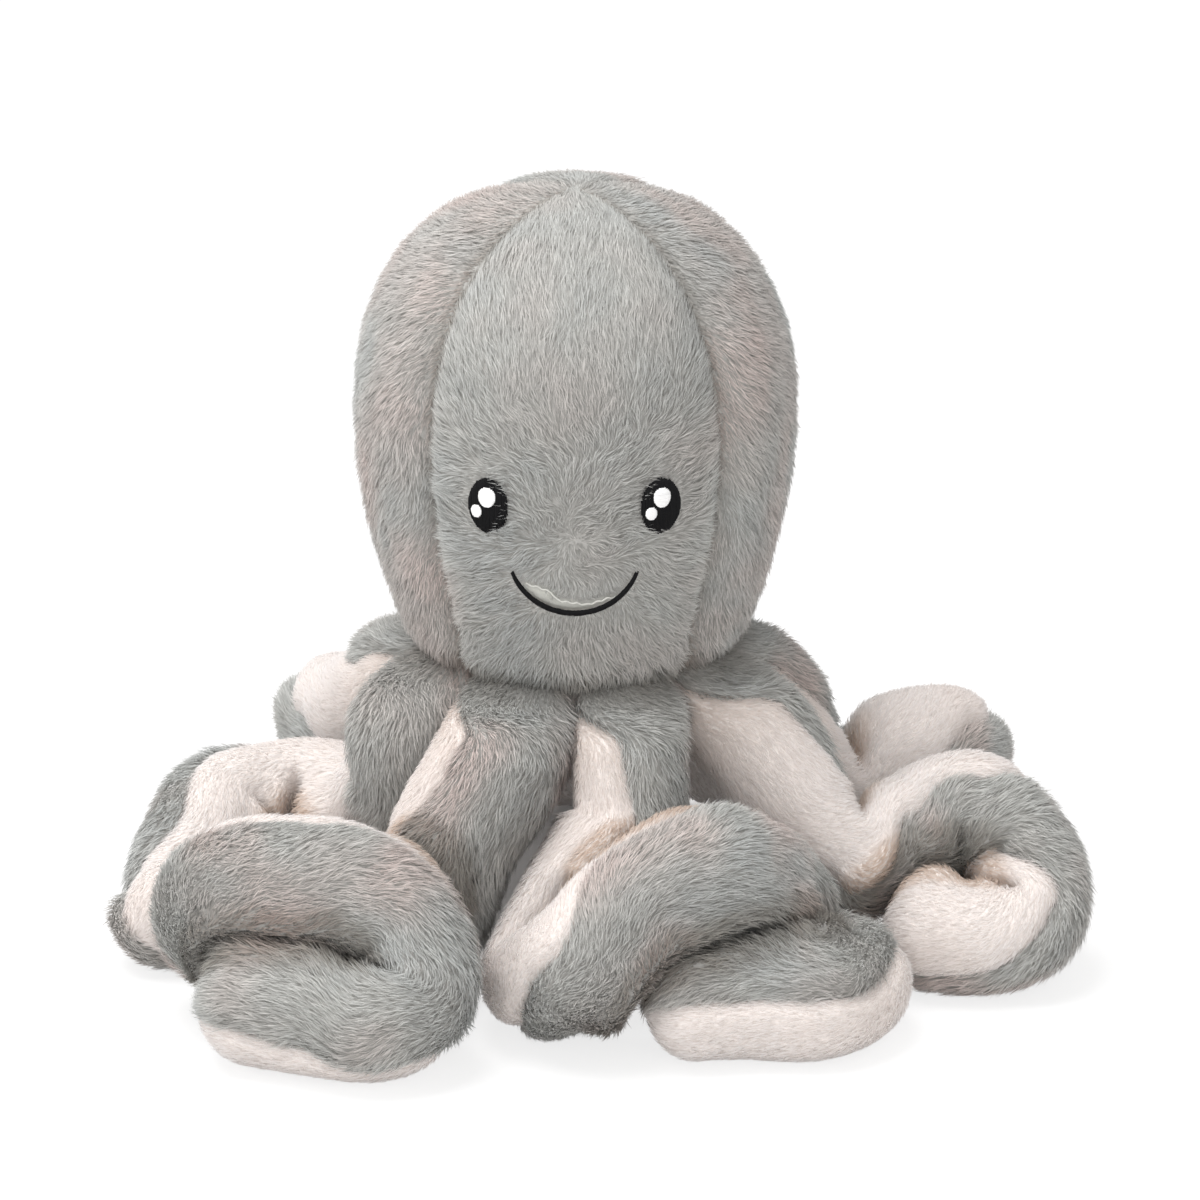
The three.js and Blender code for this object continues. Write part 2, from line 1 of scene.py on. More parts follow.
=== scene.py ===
"""Plush octopus with eight curled arms: fur skins, pile, embroidery and a studio, all in metres."""

import logging
import math
from dataclasses import dataclass, field
from enum import Enum

import bmesh
import bpy
import numpy as np
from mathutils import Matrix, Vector


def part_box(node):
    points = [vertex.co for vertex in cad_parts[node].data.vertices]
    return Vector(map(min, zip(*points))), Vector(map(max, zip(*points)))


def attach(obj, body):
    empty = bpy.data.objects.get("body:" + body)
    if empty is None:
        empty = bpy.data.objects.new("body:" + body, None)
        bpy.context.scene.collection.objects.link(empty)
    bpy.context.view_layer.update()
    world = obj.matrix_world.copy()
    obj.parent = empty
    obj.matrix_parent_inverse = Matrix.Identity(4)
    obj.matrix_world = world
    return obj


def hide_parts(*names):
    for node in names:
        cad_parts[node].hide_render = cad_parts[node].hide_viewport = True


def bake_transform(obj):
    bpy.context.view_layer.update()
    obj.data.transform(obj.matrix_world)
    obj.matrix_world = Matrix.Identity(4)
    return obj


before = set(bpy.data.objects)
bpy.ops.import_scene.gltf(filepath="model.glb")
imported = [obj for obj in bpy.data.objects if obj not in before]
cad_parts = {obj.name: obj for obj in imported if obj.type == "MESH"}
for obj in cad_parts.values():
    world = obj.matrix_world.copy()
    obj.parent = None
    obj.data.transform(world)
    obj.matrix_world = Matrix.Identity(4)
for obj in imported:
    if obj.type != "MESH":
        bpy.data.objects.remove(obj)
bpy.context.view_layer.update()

LOG = logging.getLogger("octopus")
MM = 0.001
Array = np.ndarray
Row = tuple[float, ...]
Span = tuple[float, float]
Body = bpy.types.Object
Mesh = bpy.types.Mesh
Material = bpy.types.Material
Node = bpy.types.Node
NodeTree = bpy.types.NodeTree
Socket = bpy.types.NodeSocket


class Cloth(Enum):
    """The two furs that the toy is sewn from."""

    GREY = "grey_fur"
    PINK = "pink_plush"


@dataclass(frozen=True)
class HeadSize:
    """Sizes of the stuffed head and of its neck seam, in millimetres."""

    radius: float = 66.5
    rise: float = 70.0
    drop: float = 70.0
    neck_height: float = 97.0
    arm_count: int = 8
    arm_width: float = 40.0
    crown_power: float = 2.3
    cheek_power: float = 1.8
    gores: int = 4
    gap: float = 0.3
    base_thickness: float = 2.5

    @property
    def neck_radius(self) -> float:
        """Radius of the ring of arms."""
        return self.arm_count * self.arm_width / (2 * math.pi)

    @property
    def equator(self) -> float:
        """Height of the widest ring."""
        return self.neck_height + self.drop

    @property
    def root_height(self) -> float:
        """Height at which the arms start."""
        return self.neck_height - self.base_thickness - 2 * self.gap

    def radius_at(self, height: Array) -> Array:
        """Give the radius of the sewn skin at a height.

        Args:
            height: Heights above the floor.

        Returns:
            The radii there.
        """
        rise = np.clip((height - self.equator) / self.rise, 0, 1)
        drop = np.clip((self.equator - height) / self.drop, 0, 1.2)
        above = self.radius * (1 - rise ** self.crown_power) ** (1 / self.crown_power)
        below = self.radius - (self.radius - self.neck_radius) * drop ** self.cheek_power
        return np.where(height > self.equator, above, below)


SIZE = HeadSize()


@dataclass(frozen=True)
class SkinCut:
    """How the fabric backing lies inside the outline of the pressed pile, in millimetres."""

    inset: float = 2.2
    thickness: float = 1.0
    seam_dip: float = 2.4
    seam_reach: float = 4.0
    head_seam_dip: float = 5.6
    head_seam_reach: float = 6.5
    seam_half_gap: float = 0.15


CUT = SkinCut()


@dataclass(frozen=True)
class ArmPlan:
    """Where an arm goes: across, deep, neck share, lift and girth, and where its pink side looks."""

    name: str
    azimuth: float
    route: tuple[Row, ...]
    facings: tuple[Row, ...]


ARM_PLANS: tuple[ArmPlan, ...] = (
    ArmPlan(
        name="front_left_arm",
        azimuth=-112.5,
        route=(
            (-0.56, -1.25, 0.76, 0, 0.53), (-0.9, -1.42, 0.52, 0, 0.51), (-1.14, -1.45, 0, 0.12, 0.5),
            (-1.6, -1.5, 0, 0, 0.5), (-2.15, -1.56, 0, 0.02, 0.49), (-2.66, -1.8, 0, 0.3, 0.48),
            (-2.52, -2.2, 0, 0.74, 0.48), (-2.05, -2.44, 0, 0.88, 0.49), (-1.6, -2.52, 0, 0.84, 0.49),
            (-1.26, -2.66, 0, 0.58, 0.47), (-1.16, -2.9, 0, 0.24, 0.46), (-1.4, -3.06, 0, 0, 0.48),
            (-1.95, -2.94, 0, 0, 0.48), (-2.82, -2.64, 0, 0, 0.46),
        ),
        facings=(
            (-0.7, 0.75, 0), (-0.7, 0.75, 0.1), (-0.5, 0.5, 0.7), (0, 0.3, 1), (0.2, 0.3, 0.9),
            (0.8, 0.4, 0.3), (0.4, 0.9, 0), (0, 1, -0.1), (0, 1, -0.2), (-0.3, 0.8, -0.3),
            (-0.6, 0.6, -0.4), (-0.2, 0.6, -0.8), (0, 0.3, -0.95), (-0.2, -0.2, -0.95),
        ),
    ),
    ArmPlan(
        name="front_right_arm",
        azimuth=-67.5,
        route=(
            (0.36, -1.2, 0.76, 0, 0.49), (0.32, -1.44, 0.56, 0, 0.48), (0, -1.72, 0, 0.42, 0.46),
            (-0.28, -2.18, 0, 0, 0.46), (0.04, -2.72, 0, 0.38, 0.47), (0.5, -2.64, 0, 0.8, 0.48),
            (1.02, -2.34, 0, 0.9, 0.49), (1.42, -1.82, 0, 0.56, 0.47), (1.66, -1.68, 0, 0.1, 0.46),
            (1.88, -1.84, 0, 0, 0.45), (2.08, -2.18, 0, 0, 0.45), (1.84, -2.58, 0, 0, 0.46),
            (1.2, -2.64, 0, 0, 0.46), (0.42, -2.76, 0, 0, 0.43),
        ),
        facings=(
            (-0.9, 0, 0), (-0.9, -0.3, 0), (-0.95, -0.3, 0), (-0.9, -0.1, 0.4), (-0.8, 0.6, 0),
            (-0.4, 0.8, -0.4), (0, 0.8, -0.6), (-0.3, 0.8, -0.6), (-0.3, 0.6, -0.8), (0.4, 0.4, -0.9),
            (0.6, -0.3, -0.8), (0, -0.4, -0.9), (0, -0.4, -0.9), (0, -0.5, -0.85),
        ),
    ),
    ArmPlan(
        name="right_front_arm",
        azimuth=-22.5,
        route=(
            (1.28, -0.54, 0.74, 0, 0.5), (1.62, -0.65, 0.56, 0, 0.5), (2.02, -0.72, 0, 0.48, 0.5),
            (2.5, -0.6, 0, 0.56, 0.49), (2.96, -0.56, 0, 0.68, 0.48), (3.34, -0.76, 0, 0.5, 0.43),
            (3.4, -1.18, 0, 0.14, 0.44), (2.98, -1.38, 0, 0.02, 0.45), (2.2, -1.2, 0, 0.04, 0.43),
        ),
        facings=(
            (-0.4, -0.8, 0), (-0.3, -0.9, 0.2), (-0.4, -0.3, 0.8), (-0.3, 0.5, 0.8), (-0.5, 0.8, 0.4),
            (-0.8, 0.7, 0.1), (-0.7, -0.1, 0.6), (-0.2, -0.5, 0.8), (-0.1, -0.75, 0.65),
        ),
    ),
    ArmPlan(
        name="right_back_arm",
        azimuth=22.5,
        route=(
            (1.3, 0.54, 0.72, 0, 0.5), (1.64, 0.66, 0.52, 0, 0.49), (2.02, 0.82, 0, 0.46, 0.48),
            (2.44, 0.98, 0, 0.56, 0.48), (2.78, 1.26, 0, 0.56, 0.47), (2.9, 1.72, 0, 0.3, 0.46),
            (2.64, 2.2, 0, 0.02, 0.45), (2.04, 2.44, 0, 0, 0.43),
        ),
        facings=(
            (-0.5, -0.8, 0), (-0.4, -0.9, 0.2), (-0.3, -0.7, 0.6), (-0.4, -0.5, 0.8), (-0.6, -0.2, 0.8),
            (-0.8, 0, 0.6), (-0.6, -0.1, 0.8), (-0.2, 0, 1),
        ),
    ),
    ArmPlan(
        name="back_right_arm",
        azimuth=67.5,
        route=(
            (0.52, 1.26, 0.74, 0, 0.5), (0.76, 1.74, 0.48, 0, 0.5), (1.08, 2.26, 0, 0.14, 0.5),
            (1.36, 2.7, 0, 0, 0.48), (1.3, 3.16, 0, 0, 0.46),
        ),
        facings=(
            (-0.4, -0.9, 0), (-0.2, -0.7, -0.7), (0, -0.3, -1), (0, 0, -1), (0, 0, -1),
        ),
    ),
    ArmPlan(
        name="back_left_arm",
        azimuth=112.5,
        route=(
            (-0.52, 1.26, 0.74, 0, 0.5), (-0.6, 1.74, 0.48, 0, 0.5), (-0.4, 2.24, 0, 0.14, 0.5),
            (0, 2.62, 0, 0, 0.48), (0.2, 3.06, 0, 0, 0.46),
        ),
        facings=(
            (0.4, -0.9, 0), (0.2, -0.7, -0.7), (0, -0.3, -1), (0, 0, -1), (0, 0, -1),
        ),
    ),
    ArmPlan(
        name="left_back_arm",
        azimuth=157.5,
        route=(
            (-1.24, 0.64, 0.75, 0, 0.5), (-1.48, 1.1, 0.58, 0, 0.5), (-1.74, 1.56, 0, 0.62, 0.5),
            (-1.84, 2.02, 0, 0.5, 0.49), (-1.74, 2.46, 0, 0.22, 0.48), (-1.56, 2.9, 0, 0, 0.45),
        ),
        facings=(
            (0.3, -0.8, 0.2), (0.2, -0.8, 0.5), (0.3, -0.5, 0.9), (0.5, -0.3, 0.7), (0.5, -0.2, 0.7),
            (0.3, -0.2, 0.8),
        ),
    ),
    ArmPlan(
        name="left_front_arm",
        azimuth=-157.5,
        route=(
            (-1.2, -0.48, 0.76, 0, 0.5), (-1.26, -0.42, 0.56, 0, 0.49), (-1.52, -0.04, 0, 0.5, 0.48),
            (-2.02, 0.36, 0, 0.44, 0.48), (-2.6, 0.2, 0, 0.44, 0.48), (-2.86, -0.3, 0, 0.24, 0.47),
            (-3.04, -0.78, 0, 0, 0.46), (-3.42, -1.16, 0, 0, 0.42),
        ),
        facings=(
            (0.3, 0.9, 0), (0, 0.8, 0.3), (-0.1, -0.2, 0.9), (0.2, -0.7, 0.7), (0.9, -0.3, 0.4),
            (0.9, 0.2, 0.35), (0.6, 0, 0.8), (0.2, 0, 1),
        ),
    ),
)


@dataclass(frozen=True)
class PileFinish:
    """A fur: its strands in millimetres and to the square millimetre, its colours, and how it lies."""

    name: str
    # root is darker than tip: painted shade deep between the strands
    root: Row
    tip: Row
    warm: Row
    cool: Row
    shade: Row
    backing: Row
    length: float = 6.2
    width: float = 0.33
    density: float = 2.3
    lean: float = 68.0
    swirl: float = 34.0
    spread: float = 0.3
    roughness: float = 0.85
    gloss: float = 0.2
    sheen: float = 0.25
    sheen_roughness: float = 0.5
    through: float = 0.3


GREY_PILE = PileFinish(
    name="grey pile",
    root=(0.435, 0.43, 0.41),
    tip=(0.595, 0.597, 0.578),
    warm=(0.69, 0.605, 0.575),
    cool=(0.565, 0.577, 0.567),
    shade=(0.48, 0.44, 0.40),
    backing=(0.50, 0.49, 0.47),
    density=2.17,
    through=0.36,
)
PINK_PILE = PileFinish(
    name="pink pile",
    root=(0.88, 0.835, 0.81),
    tip=(0.905, 0.875, 0.862),
    warm=(0.90, 0.856, 0.834),
    cool=(0.895, 0.873, 0.865),
    shade=(0.70, 0.58, 0.48),
    backing=(0.86, 0.80, 0.765),
    length=3.6,
    width=0.32,
    density=2.22,
    lean=73.0,
    swirl=10.0,
    spread=0.02,
    through=0.5,
)
PILES: dict[Cloth, PileFinish] = {Cloth.GREY: GREY_PILE, Cloth.PINK: PINK_PILE}


@dataclass(frozen=True)
class ThreadFinish:
    """An embroidery thread: its colour, gloss and half thickness in millimetres."""

    name: str
    slot: str
    colour: Row
    light: Row
    roughness: float = 0.6
    half: float = 0.24
    gloss: float = 0.12
    fibres: float = 2600.0
    bump: float = 0.3
    bump_depth: float = 0.0001


BLACK_THREAD = ThreadFinish("black thread", "black_thread", (0.003, 0.003, 0.0035), (0.009, 0.009, 0.010))
WHITE_THREAD = ThreadFinish("white thread", "white_thread", (0.80, 0.80, 0.80), (0.92, 0.92, 0.92))
PALE_THREAD = ThreadFinish("pale thread", "grey_fur", (0.50, 0.50, 0.47), (0.62, 0.62, 0.58), 0.7, 0.3)


@dataclass(frozen=True)
class BackingFinish:
    """The knit backing of a fur, and its two tones where the pile is shaved off."""

    dark_share: float = 0.7
    pale_low: Row = (0.40, 0.40, 0.37)
    pale_high: Row = (0.55, 0.55, 0.51)
    loop: float = 0.0009
    bump: float = 0.35
    bump_depth: float = 0.0003
    roughness: float = 0.95
    gloss: float = 0.15
    sheen: float = 0.2


@dataclass(frozen=True)
class FillingFinish:
    """White polyester fibre in loose wads."""

    low: Row = (0.72, 0.71, 0.68)
    high: Row = (0.9, 0.9, 0.88)
    wads: float = 240.0
    bump: float = 0.6
    bump_depth: float = 0.001
    roughness: float = 0.95


def smooth(low: float | Array, high: float | Array, value: Array) -> Array:
    """Step smoothly from 0 to 1.

    Args:
        low: Where the step starts, which may be above where it ends.
        high: Where it ends.
        value: The places asked for.

    Returns:
        The step's height at each place.
    """
    width = np.asarray(high) - np.asarray(low, float)
    width = np.where(np.abs(width) < 1e-9, 1e-9, width)
    share = np.clip((np.asarray(value) - low) / width, 0, 1)
    return share * share * (3 - 2 * share)


def unit(vectors: Array) -> Array:
    """Scale vectors to length 1.

    Args:
        vectors: Vectors in the last axis.

    Returns:
        The unit vectors.
    """
    return vectors / np.maximum(np.linalg.norm(vectors, axis=-1, keepdims=True), 1e-12)


def turned(vectors: Array, axes: Array, angles: Array) -> Array:
    """Turn vectors about unit axes.

    Args:
        vectors: The vectors.
        axes: One axis for each.
        angles: One angle for each, in radians.

    Returns:
        The turned vectors.
    """
    cosine = np.cos(angles)[..., None]
    sine = np.sin(angles)[..., None]
    along = (vectors * axes).sum(-1, keepdims=True)
    return vectors * cosine + np.cross(axes, vectors) * sine + axes * along * (1 - cosine)


def ripple(points: Array, size: float, seed: float) -> Array:
    """Give slow bumps over space, from a few crossed waves.

    Args:
        points: Points in millimetres.
        size: About how wide one bump is.
        seed: Shifts the waves.

    Returns:
        A value from about -1 to 1 for each point.
    """
    ways = np.array([[1, 0.3, 0.2], [-0.4, 1, 0.5], [0.2, -0.6, 1], [0.8, 0.7, -0.5]])
    phases = points @ unit(ways).T * (math.pi / size) * np.array([1, 1.3, 0.8, 1.7])
    return np.sin(phases + seed * np.array([1.0, 2.3, 4.1, 5.7])).sum(-1) / 2.6


@dataclass(frozen=True)
class Ramp:
    """A value that changes smoothly from a base, by a gain, between two places."""

    start: float
    end: float
    base: float = 0.0
    gain: float = 1.0

    def at(self, place: Array) -> Array:
        """Give the value at places."""
        return self.base + self.gain * smooth(self.start, self.end, place)


@dataclass(frozen=True)
class Wave:
    """Slow bumps over space: how high they are, how wide in millimetres, and what shifts them."""

    height: float
    size: float
    seed: float = 0.0

    def at(self, points: Array, seed: float = 0.0) -> Array:
        """Give the bumps at points, from about minus the height to the height."""
        return self.height * ripple(points, self.size, self.seed + seed)


def blurred(values: Array, rows: int, columns: int) -> Array:
    """Blur a grid of values along its rows, and round its closed columns.

    Args:
        values: The grid.
        rows: How many passes along the arm.
        columns: How many passes round it.

    Returns:
        The blurred grid.
    """
    out = values.copy()
    for _ in range(rows):
        padded = np.pad(out, ((1, 1), (0, 0)), mode="edge")
        out = padded[:-2] * 0.25 + padded[1:-1] * 0.5 + padded[2:] * 0.25
    for _ in range(columns):
        out = np.roll(out, 1, 1) * 0.25 + out * 0.5 + np.roll(out, -1, 1) * 0.25
    return out


class ArmCourse:
    """The centre line of an arm, with its girth and its twist."""

    STEPS = 200
    STRAIGHT_END = 48.0
    WEDGE_END = 88.0
    ROOT_HALF = 0.53
    FLOOR_PRESS = 0.5
    BESIDE = (-1.6, -1.2, -0.8, -0.4, -0.2, 0.2, 0.4, 0.8, 1.2, 1.6)
    FINE_STEPS = 800
    BEND_WEIGHT = 0.3

    def __init__(self, plan: ArmPlan) -> None:
        """Lay the centre line.

        Args:
            plan: The arm's plan.
        """
        width = SIZE.arm_width
        self.turn = math.radians(plan.azimuth)
        self.outward = np.array([math.cos(self.turn), math.sin(self.turn), 0.0])
        start = self.outward * (SIZE.neck_radius - self.ROOT_HALF * width)
        start[2] = SIZE.root_height
        points = [start]
        for across, deep, neck, lift, girth in plan.route:
            lying = girth * width - self.FLOOR_PRESS
            height = neck * SIZE.neck_height if neck > 0 else lying + lift * width
            points.append(np.array([across * width, deep * width, height]))
        inner = np.array(points)
        self.controls = np.vstack([2 * inner[0] - inner[1], inner, 2 * inner[-1] - inner[-2]])
        self.pieces = len(inner) - 1
        self.grid = np.linspace(0, 1, self.STEPS * self.pieces + 1)
        steps = np.linalg.norm(np.diff(self._point(self.grid), axis=0), axis=1)
        self.lengths = np.concatenate([[0.0], np.cumsum(steps)])
        self.length = float(self.lengths[-1])
        self.knots = self.lengths[:: self.STEPS] / self.length
        self.girths = np.array([self.ROOT_HALF, *[row[4] for row in plan.route]])
        self._carry()
        self._twist(np.array([-self.outward, *[np.array(row, float) for row in plan.facings]]))

    def _point(self, place: Array) -> Array:
        """Give points of the curve by its own measure, from 0 to 1."""
        scaled = place * self.pieces
        index = np.clip(np.floor(scaled).astype(int), 0, self.pieces - 1)
        rest = (scaled - index)[:, None]
        p0, p1, p2, p3 = (self.controls[index + k] for k in range(4))
        t0, t1 = (p2 - p0) / 2, (p3 - p1) / 2
        square = (3 * p2 - 3 * p1 - 2 * t0 - t1) * rest**2
        return p1 + t0 * rest + square + (2 * p1 - 2 * p2 + t0 + t1) * rest**3

    def centre(self, share: Array) -> Array:
        """Give the points at shares of the length."""
        place = np.interp(np.clip(share, 0, 1) * self.length, self.lengths, self.grid)
        return self._point(place)

    def along(self, share: Array) -> Array:
        """Give the directions at shares of the length."""
        place = np.interp(np.clip(share, 0, 1) * self.length, self.lengths, self.grid)
        ahead = self._point(np.minimum(place + 1e-4, 1)) - self._point(np.maximum(place - 1e-4, 0))
        weight = smooth(0, self.STRAIGHT_END, share * self.length)[:, None]
        return unit(np.array([0, 0, -1.0]) * (1 - weight) + unit(ahead) * weight)

    def _carry(self) -> None:
        """Carry the top's direction along the arm without any twist."""
        ways = self.along(np.linspace(0, 1, self.STEPS + 1))
        carried = [self.outward]
        for here, there in zip(ways[:-1], ways[1:]):
            axis = np.cross(here, there)
            sine = float(np.linalg.norm(axis))
            if sine < 1e-9:
                carried.append(carried[-1])
                continue
            angle = np.array(math.atan2(sine, float(here @ there)))
            carried.append(turned(carried[-1], axis / sine, angle))
        self.carried = np.array(carried)

    def _carried_at(self, share: Array) -> Array:
        """Give the carried direction at shares of the length."""
        place = np.clip(share, 0, 1) * self.STEPS
        step = np.minimum(np.floor(place).astype(int), self.STEPS - 1)
        rest = (place - step)[:, None]
        return unit(self.carried[step] * (1 - rest) + self.carried[step + 1] * rest)

    def _twist(self, facings: Array) -> None:
        """Find the twist at each place that turns the pink side the way it faces.

        Args:
            facings: The wanted direction of the pink side at each place.
        """
        twists = [0.0]
        for place in range(1, self.pieces + 1):
            share = np.array([self.knots[place]])
            here, axis = self._carried_at(share)[0], self.along(share)[0]
            wanted = unit(-facings[place])
            sine = float(np.cross(here, wanted) @ axis)
            cosine = float(here @ wanted - (here @ axis) * (wanted @ axis))
            full = math.atan2(sine, cosine)
            twists.append(full - 2 * math.pi * round((full - twists[-1]) / (2 * math.pi)))
        self.twists = np.array(twists)

    def shares(self, end: float, spacing: float) -> Array:
        """Give shares of the length for rows that stand closer where the arm bends.

        Args:
            end: The last share.
            spacing: Millimetres from row to row where the arm is straight.

        Returns:
            The shares, from 0 to end.
        """
        fine = np.linspace(0, end, self.FINE_STEPS + 1)
        ways = self.along(fine)
        bends = np.arccos(np.clip((ways[:-1] * ways[1:]).sum(-1), -1, 1))
        steps = end * self.length / self.FINE_STEPS + bends * self.BEND_WEIGHT * SIZE.arm_width
        paces = np.concatenate([[0], np.cumsum(steps)])
        count = round(paces[-1] / spacing)
        return np.interp(np.linspace(0, paces[-1], count + 1), paces, fine)

    def frames(self, share: Array) -> tuple[Array, Array, Array, Array, Array]:
        """Give centres, girths, directions, tops and sides at shares of the length."""
        place = np.clip(np.searchsorted(self.knots, share, side="right") - 1, 0, self.pieces)
        after = np.minimum(place + 1, self.pieces)
        rest = smooth(self.knots[place], self.knots[after], share)
        rest = np.where(place == after, 0, rest)
        along = self.along(share)
        twist = self.twists[place] * (1 - rest) + self.twists[after] * rest
        top = turned(self._carried_at(share), along, twist)
        top = unit(top - along * (top * along).sum(-1, keepdims=True))
        girth = (self.girths[place] * (1 - rest) + self.girths[after] * rest) * SIZE.arm_width
        return self.centre(share), girth, along, top, np.cross(top, along)


@dataclass
class Shell:
    """A piece of sewn cloth as a grid of points, with what its pile needs to know there."""

    points: Array
    inner: Array
    flow: Array
    pile: Array
    cover: Array
    lie: Array
    blush: Array
    shade: Array
    shaved: Array | None = None


def placed(name: str, data: bpy.types.ID) -> Body:
    """Make an object of a mesh, a lamp or a camera, and put it in the scene."""
    made = bpy.data.objects.new(name, data)
    bpy.context.scene.collection.objects.link(made)
    return made


def mesh_object(name: str, points: Array, faces: list[tuple[int, ...]] | Array) -> Body:
    """Make an object from points in millimetres of the head's own frame.

    Args:
        name: The object's name.
        points: Its points.
        faces: Its faces, as indices.

    Returns:
        The new object, at the origin.
    """
    mesh = bpy.data.meshes.new(name)
    low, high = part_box("base_panel")
    shift = np.array([(low[0] + high[0]) / 2, (low[1] + high[1]) / 2, 0.0])
    facets = faces if isinstance(faces, list) else faces.tolist()
    mesh.from_pydata((points * MM + shift).tolist(), [], facets)
    return placed(name, mesh)


def store(mesh: Mesh, name: str, values: Array | list[float], vector: bool = False) -> None:
    """Keep one number, or one vector, on each point of a mesh.

    Args:
        mesh: The mesh.
        name: The attribute's name.
        values: The numbers or vectors, in the order of the points.
        vector: They are vectors.
    """
    kind, key = ("FLOAT_VECTOR", "vector") if vector else ("FLOAT", "value")
    attribute = mesh.attributes.new(name, kind, "POINT")
    attribute.data.foreach_set(key, np.asarray(values).ravel().astype(np.float32))


def stored(mesh: Mesh, name: str, vector: bool = False) -> Array:
    """Read back what store keeps.

    Args:
        mesh: The mesh.
        name: The attribute's name.
        vector: It holds vectors.

    Returns:
        One number, or one row of three, for each point.
    """
    values = np.empty(len(mesh.vertices) * (3 if vector else 1), np.float32)
    mesh.attributes[name].data.foreach_get("vector" if vector else "value", values)
    return values.reshape(-1, 3) if vector else values


def quads_of(index: Array) -> Array:
    """Give the quads between a grid of point numbers, one line of four for each."""
    corners = [index[:-1, :-1], index[:-1, 1:], index[1:, 1:], index[1:, :-1]]
    return np.stack(corners, -1).reshape(-1, 4)


def grid_faces(rows: int, columns: int, first: int = 0, flip: bool = False) -> Array:
    """Give the quads of a grid of points.

    Args:
        rows: Rows of points.
        columns: Points in a row.
        first: Index of the first point.
        flip: Turns the faces round.

    Returns:
        One line of four indices for each quad.
    """
    faces = quads_of(first + np.arange(rows * columns).reshape(rows, columns))
    return faces[:, ::-1] if flip else faces


def tidy_mesh(made: Body, merge: float = 1e-6) -> None:
    """Merge doubles, drop flat faces and point all faces out.

    Args:
        made: The object to tidy.
        merge: Points nearer than this become one, in metres.
    """
    work = bmesh.new()
    work.from_mesh(made.data)
    bmesh.ops.remove_doubles(work, verts=work.verts, dist=merge)
    bmesh.ops.dissolve_degenerate(work, dist=merge / 10, edges=work.edges)
    bmesh.ops.triangulate(work, faces=[f for f in work.faces if len(f.verts) > 4])
    if work.calc_volume(signed=True) < 0:
        bmesh.ops.reverse_faces(work, faces=work.faces)
    work.to_mesh(made.data)
    work.free()
    made.data.shade_smooth()


def shell_object(name: str, shell: Shell) -> Body:
    """Make the closed backing of a piece of cloth.

    Args:
        name: The object's name.
        shell: The cloth.

    Returns:
        The object, with the mask of its shaved places as an attribute.
    """
    rows, columns = shell.points.shape[:2]
    count = rows * columns
    outer = np.arange(count).reshape(rows, columns)
    inner = outer + count
    faces = [grid_faces(rows, columns), grid_faces(rows, columns, count, True)]
    edges = (np.s_[:, 0], True), (np.s_[:, -1], False), (np.s_[0, :], False), (np.s_[-1, :], True)
    for line, flip in edges:
        out, ins = outer[line], inner[line]
        quads = [out[:-1], out[1:], ins[1:], ins[:-1]]
        if not flip:
            quads.reverse()
        faces.append(np.stack(quads, -1))
    points = np.concatenate([shell.points.reshape(-1, 3), shell.inner.reshape(-1, 3)])
    made = mesh_object(name, points, np.concatenate(faces))
    shaved = shell.shaved if shell.shaved is not None else np.zeros((rows, columns))
    store(made.data, "shaved", np.tile(shaved.ravel(), 2))
    tidy_mesh(made)
    return made


def through_nodes(made: Body, tree: NodeTree, values: dict[str, object]) -> Mesh:
    """Run an object through Geometry Nodes.

    Args:
        made: The object, which is left as it was.
        tree: The nodes.
        values: The inputs to set, by their names.

    Returns:
        What comes out, as a plain mesh.
    """
    modifier = made.modifiers.new(tree.name, "NODES")
    modifier.node_group = tree
    for item in tree.interface.items_tree:
        if item.item_type == "SOCKET" and item.in_out == "INPUT" and item.name in values:
            modifier[item.identifier] = values[item.name]
    bpy.context.view_layer.update()
    ready = made.evaluated_get(bpy.context.evaluated_depsgraph_get())
    mesh = bpy.data.meshes.new_from_object(ready)
    made.modifiers.remove(modifier)
    return mesh


